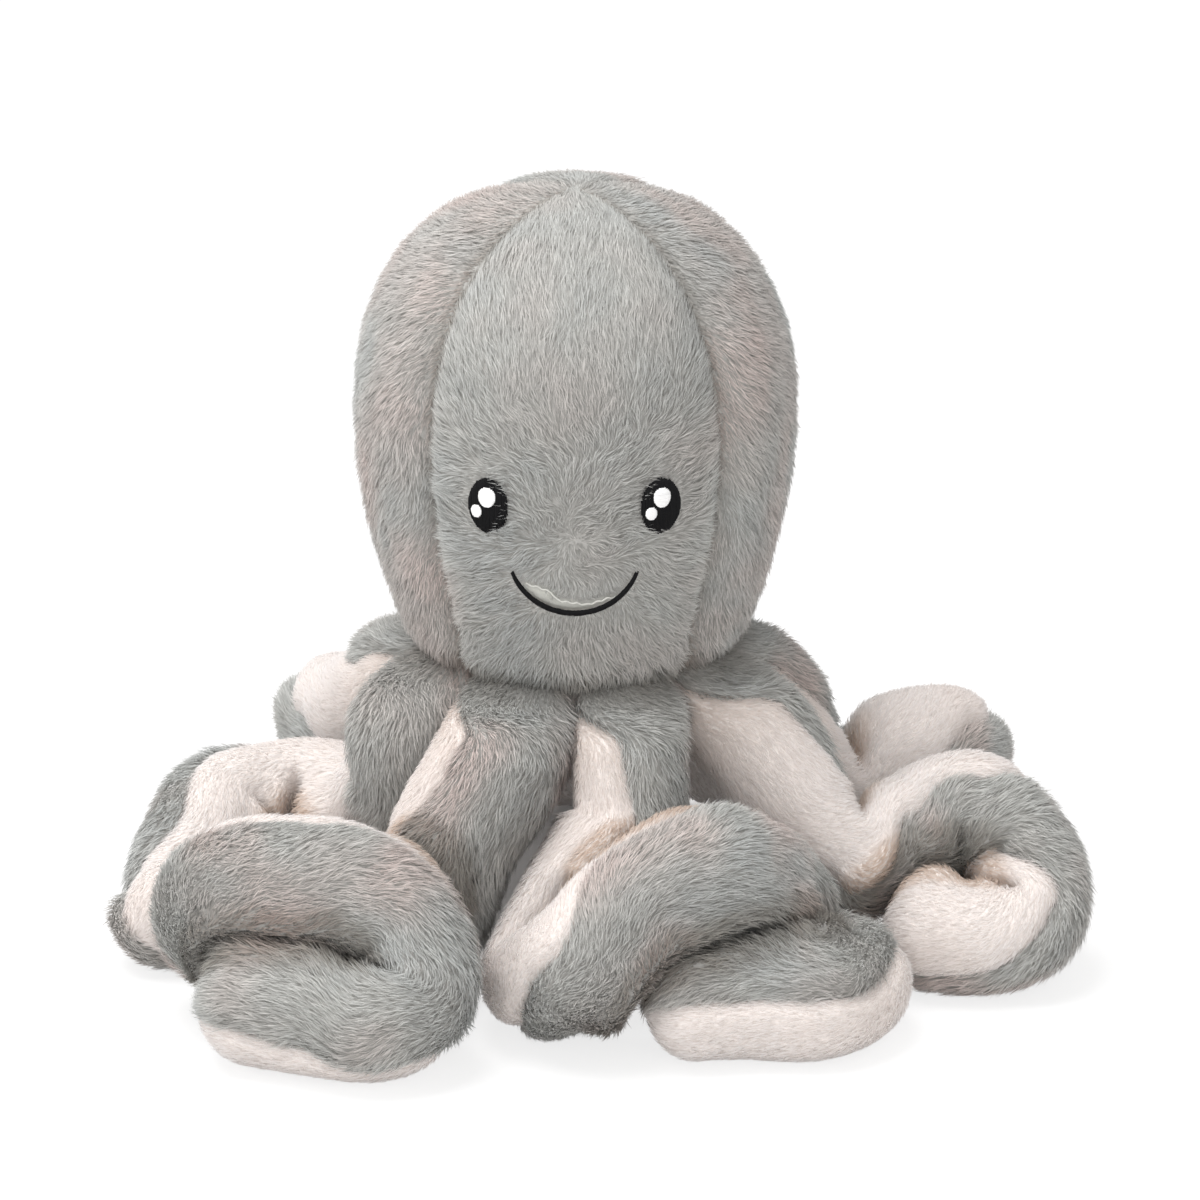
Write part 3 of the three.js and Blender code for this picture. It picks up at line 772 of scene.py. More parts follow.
class NodeSketch:
    """A short way to place and join nodes in one tree."""

    def __init__(self, tree: NodeTree) -> None:
        """Hold the tree."""
        self.tree = tree

    def add(self, kind: str, settings: dict | None = None, **inputs: object) -> Node:
        """Add a node and join or set its inputs.

        Args:
            kind: The node's type.
            settings: Properties of the node itself.
            **inputs: What join takes.

        Returns:
            The node.
        """
        node = self.tree.nodes.new(kind)
        for key, value in (settings or {}).items():
            setattr(node, key, value)
        return self.join(node, **inputs)

    def join(self, node: Node, **inputs: object) -> Node:
        """Join or set the inputs of a node.

        Args:
            node: The node.
            **inputs: Values or sockets, by the socket's name with underscores, or by i and its number.

        Returns:
            The same node.
        """
        for key, value in inputs.items():
            by_number = key[0] == "i" and key[1:].isdigit()
            socket = node.inputs[int(key[1:])] if by_number else node.inputs[key.replace("_", " ")]
            if isinstance(value, Socket):
                self.tree.links.new(value, socket)
            else:
                socket.default_value = value
        return node

    def noise(self, place: object, scale: object, detail: float, **inputs: object) -> Socket:
        """Give the value of noise over space."""
        made = self.add("ShaderNodeTexNoise", {"noise_dimensions": "3D"}, Vector=place, Scale=scale,
                        Detail=detail, **inputs)
        return made.outputs[0]

    def attribute(self, name: str) -> Socket:
        """Give an attribute of the surface as a number, for a shader."""
        return self.add("ShaderNodeAttribute", {"attribute_name": name}).outputs["Fac"]

    def mix(self, share: object, first: object, second: object, blend: str = "MIX") -> Socket:
        """Give a mix of two colours."""
        node = self.add("ShaderNodeMixRGB", {"blend_type": blend}, Fac=share, Color1=first, Color2=second)
        return node.outputs[0]

    def ramp(self, value: object, start: float, end: float, low: object = 0.0, high: object = 1.0,
             kind: str = "LINEAR") -> Socket:
        """Give a value that runs from low to high between two values."""
        node = self.add("ShaderNodeMapRange", {"interpolation_type": kind}, Value=value, From_Min=start,
                        From_Max=end, To_Min=low, To_Max=high)
        return node.outputs[0]

    def end(self, geometry: object, material: object) -> None:
        """End a Geometry Nodes tree: realize its copies and set their material."""
        real = self.add("GeometryNodeRealizeInstances", None, Geometry=geometry)
        done = self.add("GeometryNodeSetMaterial", None, Geometry=real.outputs[0], Material=material)
        self.add("NodeGroupOutput", None, Geometry=done.outputs[0])

    def seen(self) -> Socket:
        """Give 1 for rays of the camera, of reflections and of clear materials."""
        path = self.add("ShaderNodeLightPath").outputs
        direct = self.maths("MAXIMUM", path["Is Camera Ray"], path["Is Glossy Ray"])
        return self.maths("MAXIMUM", direct, path["Is Transmission Ray"])

    def maths(self, operation: str, first: object, second: object = 0.0) -> Socket:
        """Give the result of a sum of two numbers."""
        return self.add("ShaderNodeMath", {"operation": operation}, i0=first, i1=second).outputs[0]

    def vector(self, operation: str, first: object, second: object = (0, 0, 0)) -> Node:
        """Give a node for a sum of two vectors."""
        return self.add("ShaderNodeVectorMath", {"operation": operation}, i0=first, i1=second)


def blank_nodes(owner: Material | bpy.types.World) -> NodeSketch:
    """Clear the nodes of a material or a world and give a sketch of them."""
    owner.use_nodes = True
    owner.node_tree.nodes.clear()
    return NodeSketch(owner.node_tree)


def geometry_tree(name: str, inputs: dict[str, tuple[str, float | None]]) -> NodeSketch:
    """Start a Geometry Nodes tree that takes and gives geometry.

    Args:
        name: The tree's name.
        inputs: The kind of each further input, and its value or None.

    Returns:
        A sketch of the tree.
    """
    tree = bpy.data.node_groups.new(name, "GeometryNodeTree")
    tree.interface.new_socket("Geometry", in_out="INPUT", socket_type="NodeSocketGeometry")
    for key, (kind, value) in inputs.items():
        socket = tree.interface.new_socket(key, in_out="INPUT", socket_type=f"NodeSocket{kind}")
        if value is not None:
            socket.default_value = value
    tree.interface.new_socket("Geometry", in_out="OUTPUT", socket_type="NodeSocketGeometry")
    return NodeSketch(tree)


class PileTree:
    """Geometry Nodes that plant strands over a skin, leaning the way the pile lies."""

    SIZES = {"Density": 1.75e6, "Length": 0.008, "Width": 0.00042, "Lean": 1.08, "Swirl": 0.66,
             "Stray": 0.3, "Clump Size": 0.0055, "Wave Size": 0.03}
    EITHER_WAY = (-1.0, 1.0)
    TURN_BY_NOISE = 2.6
    LEAN_BY_NOISE = 0.52
    NOISE_SHIFT = (0.31, 0.17, 0.53)
    LEAN_SPAN = (-0.13, 0.13)
    MOST_LEAN = 1.38
    LENGTH_SPAN = (0.62, 1.12)
    WIDTH_SPAN = (0.7, 1.25)

    def __init__(self) -> None:
        """Build the tree once."""
        sizes = {name: ("Float", value) for name, value in self.SIZES.items()}
        others = {"Seed": ("Int", None), "Strand": ("Object", None), "Finish": ("Material", None)}
        self.pen = geometry_tree("pile", sizes | others)
        self.tree = self.pen.tree
        self.given = self.pen.add("NodeGroupInput").outputs
        self._build()

    def _named(self, name: str, kind: str = "FLOAT") -> Socket:
        """Read an attribute of the skin."""
        node = self.pen.add("GeometryNodeInputNamedAttribute", {"data_type": kind})
        node.inputs["Name"].default_value = name
        return next(o for o in node.outputs if o.enabled and o.name == "Attribute")

    def _random(self, span: Span, shift: float = 0.0) -> Socket:
        """Give a random number for each strand.

        Args:
            span: The lowest and the highest number.
            shift: Added to the seed, so that each property draws its own numbers.

        Returns:
            The number's socket.
        """
        node = self.pen.add("FunctionNodeRandomValue", {"data_type": "FLOAT"}, i2=span[0], i3=span[1])
        seed = self.given["Seed"]
        self.pen.join(node, Seed=self.pen.maths("ADD", seed, shift) if shift else seed)
        return node.outputs[1]

    def _store(self, geometry: object, name: str, kind: str, value: object) -> Socket:
        """Keep a value on each point, to be found on the strands."""
        settings = {"data_type": kind, "domain": "POINT"}
        node = self.pen.add("GeometryNodeStoreNamedAttribute", settings, Geometry=geometry)
        node.inputs["Name"].default_value = name
        socket = next(i for i in node.inputs if i.enabled and i.name == "Value")
        self.pen.tree.links.new(value, socket)
        return node.outputs[0]

    def _scale_of(self, size: str, share: float = 1.0) -> Socket:
        """Give the scale of noise whose bumps are one of the named sizes wide."""
        return self.pen.maths("DIVIDE", share, self.given[size])

    def _scaled(self, vector: object, scale: object) -> Socket:
        """Give a vector times a number."""
        node = self.pen.vector("SCALE", vector)
        self.pen.join(node, Scale=scale)
        return node.outputs[0]

    def _turned(self, vector: object, axis: object, angle: object) -> Socket:
        """Give a vector turned about an axis."""
        node = self.pen.add("ShaderNodeVectorRotate", {"rotation_type": "AXIS_ANGLE"}, Vector=vector,
                            Axis=axis, Angle=angle)
        return node.outputs[0]

    def _flat_way(self, upright: object) -> Socket:
        """Give the way that the pile lies, laid flat on the skin."""
        pen = self.pen
        flow = self._named("flow", "FLOAT_VECTOR")
        lift = pen.maths("MULTIPLY", pen.vector("DOT_PRODUCT", flow, upright).outputs["Value"], -1.0)
        back = pen.add("ShaderNodeCombineXYZ", None, X=lift, Y=lift, Z=lift).outputs[0]
        flat = pen.add("ShaderNodeVectorMath", {"operation": "MULTIPLY_ADD"}, i0=upright, i1=back, i2=flow)
        return pen.vector("NORMALIZE", flat.outputs[0]).outputs[0]

    def _swing(self, place: object, clumps: object) -> Socket:
        """Give how far a strand swings aside: with its clump, with slow waves and by itself."""
        pen = self.pen
        waves = pen.noise(place, self._scale_of("Wave Size"), 1.0)
        swing = pen.maths("ADD", pen.maths("SUBTRACT", clumps, 0.5), pen.maths("SUBTRACT", waves, 0.5))
        swing = pen.maths("MULTIPLY", swing, pen.maths("MULTIPLY", self.given["Swirl"], self.TURN_BY_NOISE))
        stray = pen.maths("MULTIPLY", self.given["Stray"], self._random(self.EITHER_WAY))
        return pen.maths("ADD", swing, stray)

    def _lean(self, place: object) -> Socket:
        """Give how far a strand leans over, in radians from upright."""
        pen = self.pen
        shifted = pen.vector("ADD", place, self.NOISE_SHIFT).outputs[0]
        heave = pen.noise(shifted, self._scale_of("Clump Size", 0.8), 2.0)
        heave = pen.maths("MULTIPLY", pen.maths("SUBTRACT", heave, 0.5), self.LEAN_BY_NOISE)
        lean = pen.maths("ADD", pen.maths("MULTIPLY", self.given["Lean"], self._named("lie")), heave)
        lean = pen.maths("ADD", lean, self._random(self.LEAN_SPAN, 7.0))
        return pen.maths("MINIMUM", lean, self.MOST_LEAN)

    def _build(self) -> None:
        """Place and join the nodes."""
        pen, given = self.pen, self.given
        density = pen.maths("MULTIPLY", given["Density"], self._named("cover"))
        plant = pen.add("GeometryNodeDistributePointsOnFaces", {"distribute_method": "RANDOM"},
                        Mesh=given["Geometry"], Density=density, Seed=given["Seed"])
        place = pen.add("GeometryNodeInputPosition").outputs[0]
        normal = plant.outputs["Normal"]
        points = self._store(plant.outputs["Points"], "skin_normal", "FLOAT_VECTOR", normal)
        upright = self._named("skin_normal", "FLOAT_VECTOR")
        clumps = pen.noise(place, self._scale_of("Clump Size"), 2.0, Roughness=0.6)
        aside = self._turned(self._flat_way(upright), upright, self._swing(place, clumps))
        lean = self._lean(place)
        way = pen.vector("ADD", self._scaled(aside, pen.maths("SINE", lean)),
                         self._scaled(upright, pen.maths("COSINE", lean))).outputs[0]
        rolled = self._turned(upright, way, self._random(self.EITHER_WAY, 37.0))
        facing = pen.add("FunctionNodeAxesToRotation", {"primary_axis": "Z", "secondary_axis": "Y"})
        pen.join(facing, i0=way, i1=rolled)
        long = pen.maths("MULTIPLY", given["Length"], self._named("pile"))
        long = pen.maths("MULTIPLY", long, self._random(self.LENGTH_SPAN, 13.0))
        wide = pen.maths("MULTIPLY", given["Width"], self._random(self.WIDTH_SPAN, 19.0))
        size = pen.add("ShaderNodeCombineXYZ", None, X=wide, Y=long, Z=long)
        points = self._store(points, "tint", "FLOAT", self._random((0.0, 1.0), 29.0))
        points = self._store(points, "clump", "FLOAT", clumps)
        strand = pen.add("GeometryNodeObjectInfo", {"transform_space": "ORIGINAL"}, Object=given["Strand"])
        copies = pen.add("GeometryNodeInstanceOnPoints", None, Points=points, Scale=size.outputs[0],
                         Instance=strand.outputs["Geometry"], Rotation=facing.outputs[0])
        pen.end(copies.outputs[0], given["Finish"])

    def grow(self, skin: Body, strand: Body, finish: PileFinish, material: Material, seed: int) -> Mesh:
        """Grow the pile of one skin and give it as a plain mesh.

        Args:
            skin: The open sheet that the strands stand on.
            strand: One strand.
            finish: The fur.
            material: Its material.
            seed: Sets the random numbers.

        Returns:
            The mesh of all strands.
        """
        values: dict[str, object] = {
            "Density": finish.density * 1e6, "Length": finish.length * MM, "Width": finish.width * MM,
            "Lean": math.radians(finish.lean), "Swirl": math.radians(finish.swirl), "Seed": seed,
            "Strand": strand, "Finish": material}
        return through_nodes(skin, self.tree, values)


class ThreadTree:
    """Geometry Nodes that sweep embroidery thread along drawn lines."""

    SIDES = 6

    def __init__(self) -> None:
        """Build the tree once."""
        pen = geometry_tree("thread", {"Half Thickness": ("Float", BLACK_THREAD.half * MM),
                                       "Sides": ("Int", self.SIDES), "Finish": ("Material", None)})
        self.tree = pen.tree
        given = pen.add("NodeGroupInput").outputs
        line = pen.add("GeometryNodeMeshToCurve", None, Mesh=given["Geometry"])
        profile = pen.add("GeometryNodeCurvePrimitiveCircle", None, Resolution=given["Sides"])
        radius = next(i for i in profile.inputs if i.name == "Radius" and i.enabled)
        pen.tree.links.new(given["Half Thickness"], radius)
        swept = pen.add("GeometryNodeCurveToMesh", None, Curve=line.outputs[0], Fill_Caps=True,
                        Profile_Curve=profile.outputs[0])
        pen.end(swept.outputs[0], given["Finish"])

    def sew(self, name: str, lines: list[Array], half: float, material: Material) -> Body:
        """Sweep thread along lines.

        Args:
            name: The object's name.
            lines: Lines of points in millimetres.
            half: Half the thread's thickness, in millimetres.
            material: The thread's material.

        Returns:
            One object with all the threads.
        """
        drawn = mesh_object(name, np.concatenate(lines), [])
        first, edges = 0, []
        for line in lines:
            edges += [(first + k, first + k + 1) for k in range(len(line) - 1)]
            first += len(line)
        places = [tuple(v.co) for v in drawn.data.vertices]
        drawn.data.clear_geometry()
        drawn.data.from_pydata(places, edges, [])
        values: dict[str, object] = {"Half Thickness": half * MM, "Sides": self.SIDES, "Finish": material}
        drawn.data = through_nodes(drawn, self.tree, values)
        drawn.data.name = name
        drawn.data.shade_smooth()
        return drawn


class Finishes:
    """Every material of the toy, built once from shared node groups."""

    PATCH_SIZE = 0.032
    WARM_PATCHES = (0.52, 1.1)
    COOL_PATCHES = (0.48, 0.32)
    BLUSH_WEIGHT = 0.45
    STRAND_WEIGHT = 0.75
    CLUMP_WEIGHT = 0.5
    OWN_LEVELS = (0.1, 1.0)
    LIGHTER_SHARE = 0.6
    ROOT_SHARE = 0.55
    FUZZ_SHARE = 0.4

    def __init__(self) -> None:
        """Build the groups and the materials."""
        self.tint_group = self._tint_group()
        self.knit_group = self._knit_group()
        self.pile = {cloth: self._pile_material(finish) for cloth, finish in PILES.items()}
        self.backing = {cloth: self._backing_material(finish) for cloth, finish in PILES.items()}
        threads = (BLACK_THREAD, WHITE_THREAD, PALE_THREAD)
        self.thread = {finish: self._thread_material(finish) for finish in threads}
        self.filling = self._filling_material()

    @staticmethod
    def _group(name: str, inputs: dict[str, object], outputs: dict[str, str]) -> tuple[NodeTree, NodeSketch]:
        """Start a shader node group with named sockets."""
        tree = bpy.data.node_groups.new(name, "ShaderNodeTree")
        for key, value in inputs.items():
            kind = "NodeSocketFloat" if isinstance(value, float) else "NodeSocketColor"
            socket = tree.interface.new_socket(key, in_out="INPUT", socket_type=kind)
            socket.default_value = value if isinstance(value, float) else (*value, 1.0)
        for key, kind in outputs.items():
            tree.interface.new_socket(key, in_out="OUTPUT", socket_type=kind)
        return tree, NodeSketch(tree)

    def _tint_group(self) -> NodeTree:
        """Colour of a strand: darker at the root as painted shade between the strands, with warm and cool
        patches, its own random tone, and painted shade from the shade attribute.
        """
        tree, pen = self._group(
            "strand tint",
            {"Root": GREY_PILE.root, "Tip": GREY_PILE.tip, "Warm": GREY_PILE.warm, "Cool": GREY_PILE.cool,
             "Shade": GREY_PILE.shade, "Patch Size": self.PATCH_SIZE, "Spread": GREY_PILE.spread},
            {"Colour": "NodeSocketColor"})
        given = pen.add("NodeGroupInput").outputs
        place = pen.add("ShaderNodeTexCoord").outputs["Object"]
        patches = pen.noise(place, pen.maths("DIVIDE", 1.0, given["Patch Size"]), 1.5)
        blush = pen.maths("MULTIPLY", pen.attribute("blush"), self.BLUSH_WEIGHT)
        warm = pen.ramp(pen.maths("ADD", patches, blush), *self.WARM_PATCHES)
        cool = pen.ramp(patches, *self.COOL_PATCHES)
        mixed = pen.mix(cool, pen.mix(warm, given["Tip"], given["Warm"]), given["Cool"])
        own = pen.maths("ADD", pen.maths("MULTIPLY", pen.attribute("tint"), self.STRAND_WEIGHT),
                        pen.maths("MULTIPLY", pen.attribute("clump"), self.CLUMP_WEIGHT))
        lighter = pen.maths("MULTIPLY", given["Spread"], self.LIGHTER_SHARE)
        level = pen.ramp(own, *self.OWN_LEVELS, pen.maths("SUBTRACT", 1.0, given["Spread"]),
                         pen.maths("ADD", 1.0, lighter))
        bright = pen.vector("SCALE", mixed)
        pen.join(bright, Scale=level)
        # The root colour is painted shade between the strands; it rises to the fur's own colour towards the
        # tip.
        rise = pen.ramp(pen.attribute("along"), 0.0, self.ROOT_SHARE, kind="SMOOTHSTEP")
        whole = pen.mix(rise, given["Root"], bright.outputs[0])
        shaded = pen.mix(pen.attribute("shade"), whole, given["Shade"], "MULTIPLY")
        pen.add("NodeGroupOutput", None, Colour=shaded)
        return tree

    def _knit_group(self) -> NodeTree:
        """Fine knit of the fabric backing: a height for its bump and a mask of its loops."""
        tree, pen = self._group("knit", {"Loop Size": BackingFinish.loop},
                                {"Height": "NodeSocketFloat", "Mask": "NodeSocketFloat"})
        given = pen.add("NodeGroupInput").outputs
        place = pen.add("ShaderNodeTexCoord").outputs["Object"]
        scale = pen.maths("DIVIDE", 1.0, given["Loop Size"])
        loops = pen.add("ShaderNodeTexVoronoi", None, Vector=place, Scale=scale)
        fuzz = pen.noise(place, pen.maths("DIVIDE", self.FUZZ_SHARE, given["Loop Size"]), 3.0)
        height = pen.maths("SUBTRACT", fuzz, loops.outputs["Distance"])
        pen.add("NodeGroupOutput", None, Height=height, Mask=fuzz)
        return tree

    @staticmethod
    def _material(name: str) -> tuple[Material, NodeSketch, Node, Node]:
        """Start a material: give it, its nodes, an empty Principled shader and the output."""
        material = bpy.data.materials.new(name)
        pen = blank_nodes(material)
        shader = pen.add("ShaderNodeBsdfPrincipled")
        out = pen.add("ShaderNodeOutputMaterial", None, Surface=shader.outputs[0])
        return material, pen, shader, out

    def _pile_material(self, finish: PileFinish) -> Material:
        """Make the material of a fur's strands."""
        material, pen, shader, out = self._material(finish.name)
        colours = {"Root": finish.root, "Tip": finish.tip, "Warm": finish.warm, "Cool": finish.cool,
                   "Shade": finish.shade}
        tint = pen.add("ShaderNodeGroup", {"node_tree": self.tint_group},
                       **{key: (*colour, 1.0) for key, colour in colours.items()},
                       Patch_Size=self.PATCH_SIZE, Spread=finish.spread).outputs[0]
        through = pen.add("ShaderNodeBsdfTranslucent", None, Color=tint)
        both = pen.add("ShaderNodeMixShader", None, Fac=finish.through, i1=shader.outputs[0],
                       i2=through.outputs[0])
        pen.join(out, Surface=both.outputs[0])
        pen.join(shader, Base_Color=tint, Roughness=finish.roughness, Specular_IOR_Level=finish.gloss,
                 Sheen_Weight=finish.sheen, Sheen_Roughness=finish.sheen_roughness)
        return material

    def _backing_material(self, finish: PileFinish) -> Material:
        """Make the material of a fur's fabric backing, paler where the pile is shaved off."""
        material, pen, shader, _ = self._material(finish.name.replace("pile", "backing"))
        knit = pen.add("ShaderNodeGroup", {"node_tree": self.knit_group}).outputs
        cloth = BackingFinish()
        dark = (*(c * cloth.dark_share for c in finish.backing), 1)
        covered = pen.mix(knit["Mask"], dark, (*finish.backing, 1))
        bare = pen.mix(knit["Mask"], (*cloth.pale_low, 1), (*cloth.pale_high, 1))
        bump = pen.add("ShaderNodeBump", None, Strength=cloth.bump, Distance=cloth.bump_depth,
                       Height=knit["Height"])
        pen.join(shader, Base_Color=pen.mix(pen.attribute("shaved"), covered, bare), Normal=bump.outputs[0],
                 Roughness=cloth.roughness, Specular_IOR_Level=cloth.gloss, Sheen_Weight=cloth.sheen)
        return material

    def _thread_material(self, finish: ThreadFinish) -> Material:
        """Make the material of an embroidery thread."""
        material, pen, shader, _ = self._material(finish.name)
        place = pen.add("ShaderNodeTexCoord").outputs["Object"]
        fibres = pen.noise(place, finish.fibres, 3.0)
        bump = pen.add("ShaderNodeBump", None, Strength=finish.bump, Distance=finish.bump_depth,
                       Height=fibres)
        pen.join(shader, Base_Color=pen.mix(fibres, (*finish.colour, 1), (*finish.light, 1)),
                 Normal=bump.outputs[0], Roughness=finish.roughness, Specular_IOR_Level=finish.gloss)
        return material

    def _filling_material(self) -> Material:
        """Make the material of the white polyester fibre."""
        material, pen, shader, _ = self._material("filling fibre")
        fibre = FillingFinish()
        place = pen.add("ShaderNodeTexCoord").outputs["Object"]
        wads = pen.noise(place, fibre.wads, 6.0, Distortion=1.5)
        bump = pen.add("ShaderNodeBump", None, Strength=fibre.bump, Distance=fibre.bump_depth, Height=wads)
        colour = pen.mix(wads, (*fibre.low, 1), (*fibre.high, 1))
        pen.join(shader, Base_Color=colour, Normal=bump.outputs[0], Roughness=fibre.roughness)
        return material


class Furrier:
    """Turns shells of cloth into backings and pile."""

    STRAND_POINTS = ((-0.5, 0, 0), (0.5, 0, 0), (-0.38, 0.10, 0.5), (0.38, 0.10, 0.5), (0, 0.0, 1))
    MAP_MARGIN = 0.06
    MAP_ACROSS = 0.0012
    MAP_ALONG = 0.0036
    FLOOR_GAP = 0.0004
    FLOOR_SPREAD = 0.0006
    FLOOR_STEPS = 7
    OWN_NORMAL = 0.4
    SKIN_NORMAL = 0.6

    def __init__(self, finishes: Finishes) -> None:
        """Make the one strand that all pile is grown from."""
        self.finishes = finishes
        self.tree = PileTree()
        self.strand = self._strand()
        self.strands = 0

    def _strand(self) -> Body:
        """Make one strand: three triangles that taper and arch over, one unit long."""
        mesh = bpy.data.meshes.new("strand")
        mesh.from_pydata(self.STRAND_POINTS, [], [(0, 2, 3, 1), (2, 4, 3)])
        store(mesh, "along", [0.0, 0.0, 0.5, 0.5, 1.0])
        store(mesh, "across", [-1.0, 1.0, -1.0, 1.0, 0.0])
        return placed("strand", mesh)

    def _sheet(self, name: str, shell: Shell) -> Body:
        """Make the open sheet that the pile grows on, with its attributes."""
        rows, columns = shell.points.shape[:2]
        faces = grid_faces(rows, columns)
        points = shell.points.reshape(-1, 3)
        made = mesh_object(name, points, faces)
        mesh = made.data
        for key, values in (("pile", shell.pile), ("cover", shell.cover), ("lie", shell.lie),
                            ("blush", shell.blush), ("shade", shell.shade)):
            store(mesh, key, values)
        store(mesh, "flow", shell.flow, True)
        row, column = np.meshgrid(np.linspace(self.MAP_MARGIN, 1 - self.MAP_MARGIN, rows),
                                  np.linspace(self.MAP_MARGIN, 1 - self.MAP_MARGIN, columns), indexing="ij")
        store(mesh, "skin_place", np.stack([column, row, np.zeros_like(row)], -1), True)
        quad = points[faces]
        normals = np.cross(quad[:, 2] - quad[:, 0], quad[:, 3] - quad[:, 1])
        outward = (shell.points - shell.inner).reshape(-1, 3)[faces[:, 0]]
        if (normals * outward).sum() < 0:
            mesh.flip_normals()
        return made

    def dress(self, name: str, shell: Shell, cloth: Cloth, seed: int) -> tuple[Body, Body]:
        """Make a backing and its pile.

        Args:
            name: The panel's name.
            shell: The panel.
            cloth: Its fur.
            seed: Sets the random numbers.

        Returns:
            The backing and the pile.
        """
        backing = shell_object(f"{name}_backing", shell)
        backing.data.materials.append(self.finishes.backing[cloth])
        sheet = self._sheet(f"{name}_sheet", shell)
        mesh = self.tree.grow(sheet, self.strand, PILES[cloth], self.finishes.pile[cloth], seed)
        bpy.data.objects.remove(sheet)
        mesh.name = f"{name}_pile"
        pile = placed(mesh.name, mesh)
        self._settle(mesh)
        count = len(mesh.vertices) // len(self.STRAND_POINTS)
        self.strands += count
        LOG.info("%s: %d strands", name, count)
        return backing, pile

    def _settle(self, mesh: Mesh) -> None:
        """Keep strands off the floor, lay out their map and soften their normals."""
        count = len(mesh.vertices)
        places = np.empty(count * 3, np.float32)
        mesh.vertices.foreach_get("co", places)
        places = places.reshape(-1, 3)
        step = np.arange(count) % self.FLOOR_STEPS
        floor = self.FLOOR_GAP + self.FLOOR_SPREAD * step / self.FLOOR_STEPS
        places[:, 2] = np.maximum(places[:, 2], floor)
        mesh.vertices.foreach_set("co", places.ravel())
        shifts = [stored(mesh, "across") * self.MAP_ACROSS, stored(mesh, "along") * self.MAP_ALONG]
        spots = stored(mesh, "skin_place", True)[:, :2] + np.stack(shifts, -1)
        corners = np.empty(len(mesh.loops), np.int32)
        mesh.loops.foreach_get("vertex_index", corners)
        layer = mesh.uv_layers.new(name="OFBake")
        layer.data.foreach_set("uv", spots[corners].ravel().astype(np.float32))
        skin = stored(mesh, "skin_normal", True)
        own = np.empty(count * 3, np.float32)
        mesh.vertex_normals.foreach_get("vector", own)
        own = own.reshape(-1, 3)
        own *= np.sign((own * skin).sum(-1, keepdims=True) + 1e-6)
        mixed = unit(own * self.OWN_NORMAL + skin * self.SKIN_NORMAL)
        mesh.normals_split_custom_set_from_vertices(mixed)
        for key in ("skin_place", "across", "skin_normal", "flow", "pile", "cover", "lie"):
            extra = mesh.attributes.get(key)
            if extra is not None:
                mesh.attributes.remove(extra)


@dataclass(frozen=True)
class FacePile:
    """How the pile of the face is cut and lies, with lengths in millimetres and the rest as shares."""

    by_eye: Ramp = Ramp(0.0, 7.0, 0.42, 0.58)
    by_smile: Ramp = Ramp(0.8, 6.5, 0.38, 0.62)
    by_patch: Ramp = Ramp(0.0, 9.0, 0.16, 0.84)
    by_whorl: Ramp = Ramp(2.0, 18.0, 0.62, 0.38)
    lie_by_whorl: Ramp = Ramp(1.0, 18.0, 0.85, 0.15)
    lie_waves: Wave = Wave(0.13, 5.0, 6.0)
    fringe: Ramp = Ramp(3.5, 0.5)
    fringe_length: float = 0.42
    fringe_upright: float = 0.58
    bare_eye: float = 0.15
    bare_smile: float = 1.0
    bare_patch: float = 0.4
    bare_edge: float = 0.5
    patch_half: float = 15.5
    patch_edge: Ramp = Ramp(-0.5, 0.3)
    no_patch: float = -9.0
    whorl_waves: Wave = Wave(1.2, 6.0, 3.0)
    whorl_fade: Ramp = Ramp(7.0, 26.0, 1.0, -1.0)
    tousle: tuple[Wave, ...] = (Wave(0.5, 7.0, 8.0), Wave(0.35, 3.6, 9.0))
    tousle_fade: Ramp = Ramp(60.0, 30.0)
    upward: Ramp = Ramp(15.0, 50.0, 1.0, -0.5)


@dataclass(frozen=True)
class Stitching:
    """How the threads of the embroidery are laid, with lengths in millimetres and the rest as shares."""

    points: int = 9
    pitch: float = 1.75
    ragged: Span = (-0.02, 0.035)
    wander: float = 0.03
    tuck: float = 0.35
    tuck_from: float = 0.98
    smile_pitch: float = 0.42
    smile_taper: float = 0.55
    smile_across: Row = (-1.0, -0.7, 0.0, 0.7, 1.0)
    smile_rise: Row = (0.2, 0.75, 1.05, 0.75, 0.2)
    smile_ragged: Span = (-0.06, 0.08)
    smile_uneven: Span = (-0.05, 0.05)
    smile_slant: float = 0.012
    pad_share: float = 0.97
    pad_rings: int = 6
    pad_facets: int = 28
    pad_sink: float = 0.1
    pad_depth: float = 0.6
    edge_points: int = 60
    edge_wander: float = 0.25
    edge_waves: float = 2.1
    edge_sink: float = -0.35


@dataclass(frozen=True)
class Oval:
    """One embroidered oval, in millimetres over the head's surface."""

    across: float
    height: float
    wide: float
    tall: float
    lift: float
    dome: float
    upright: bool


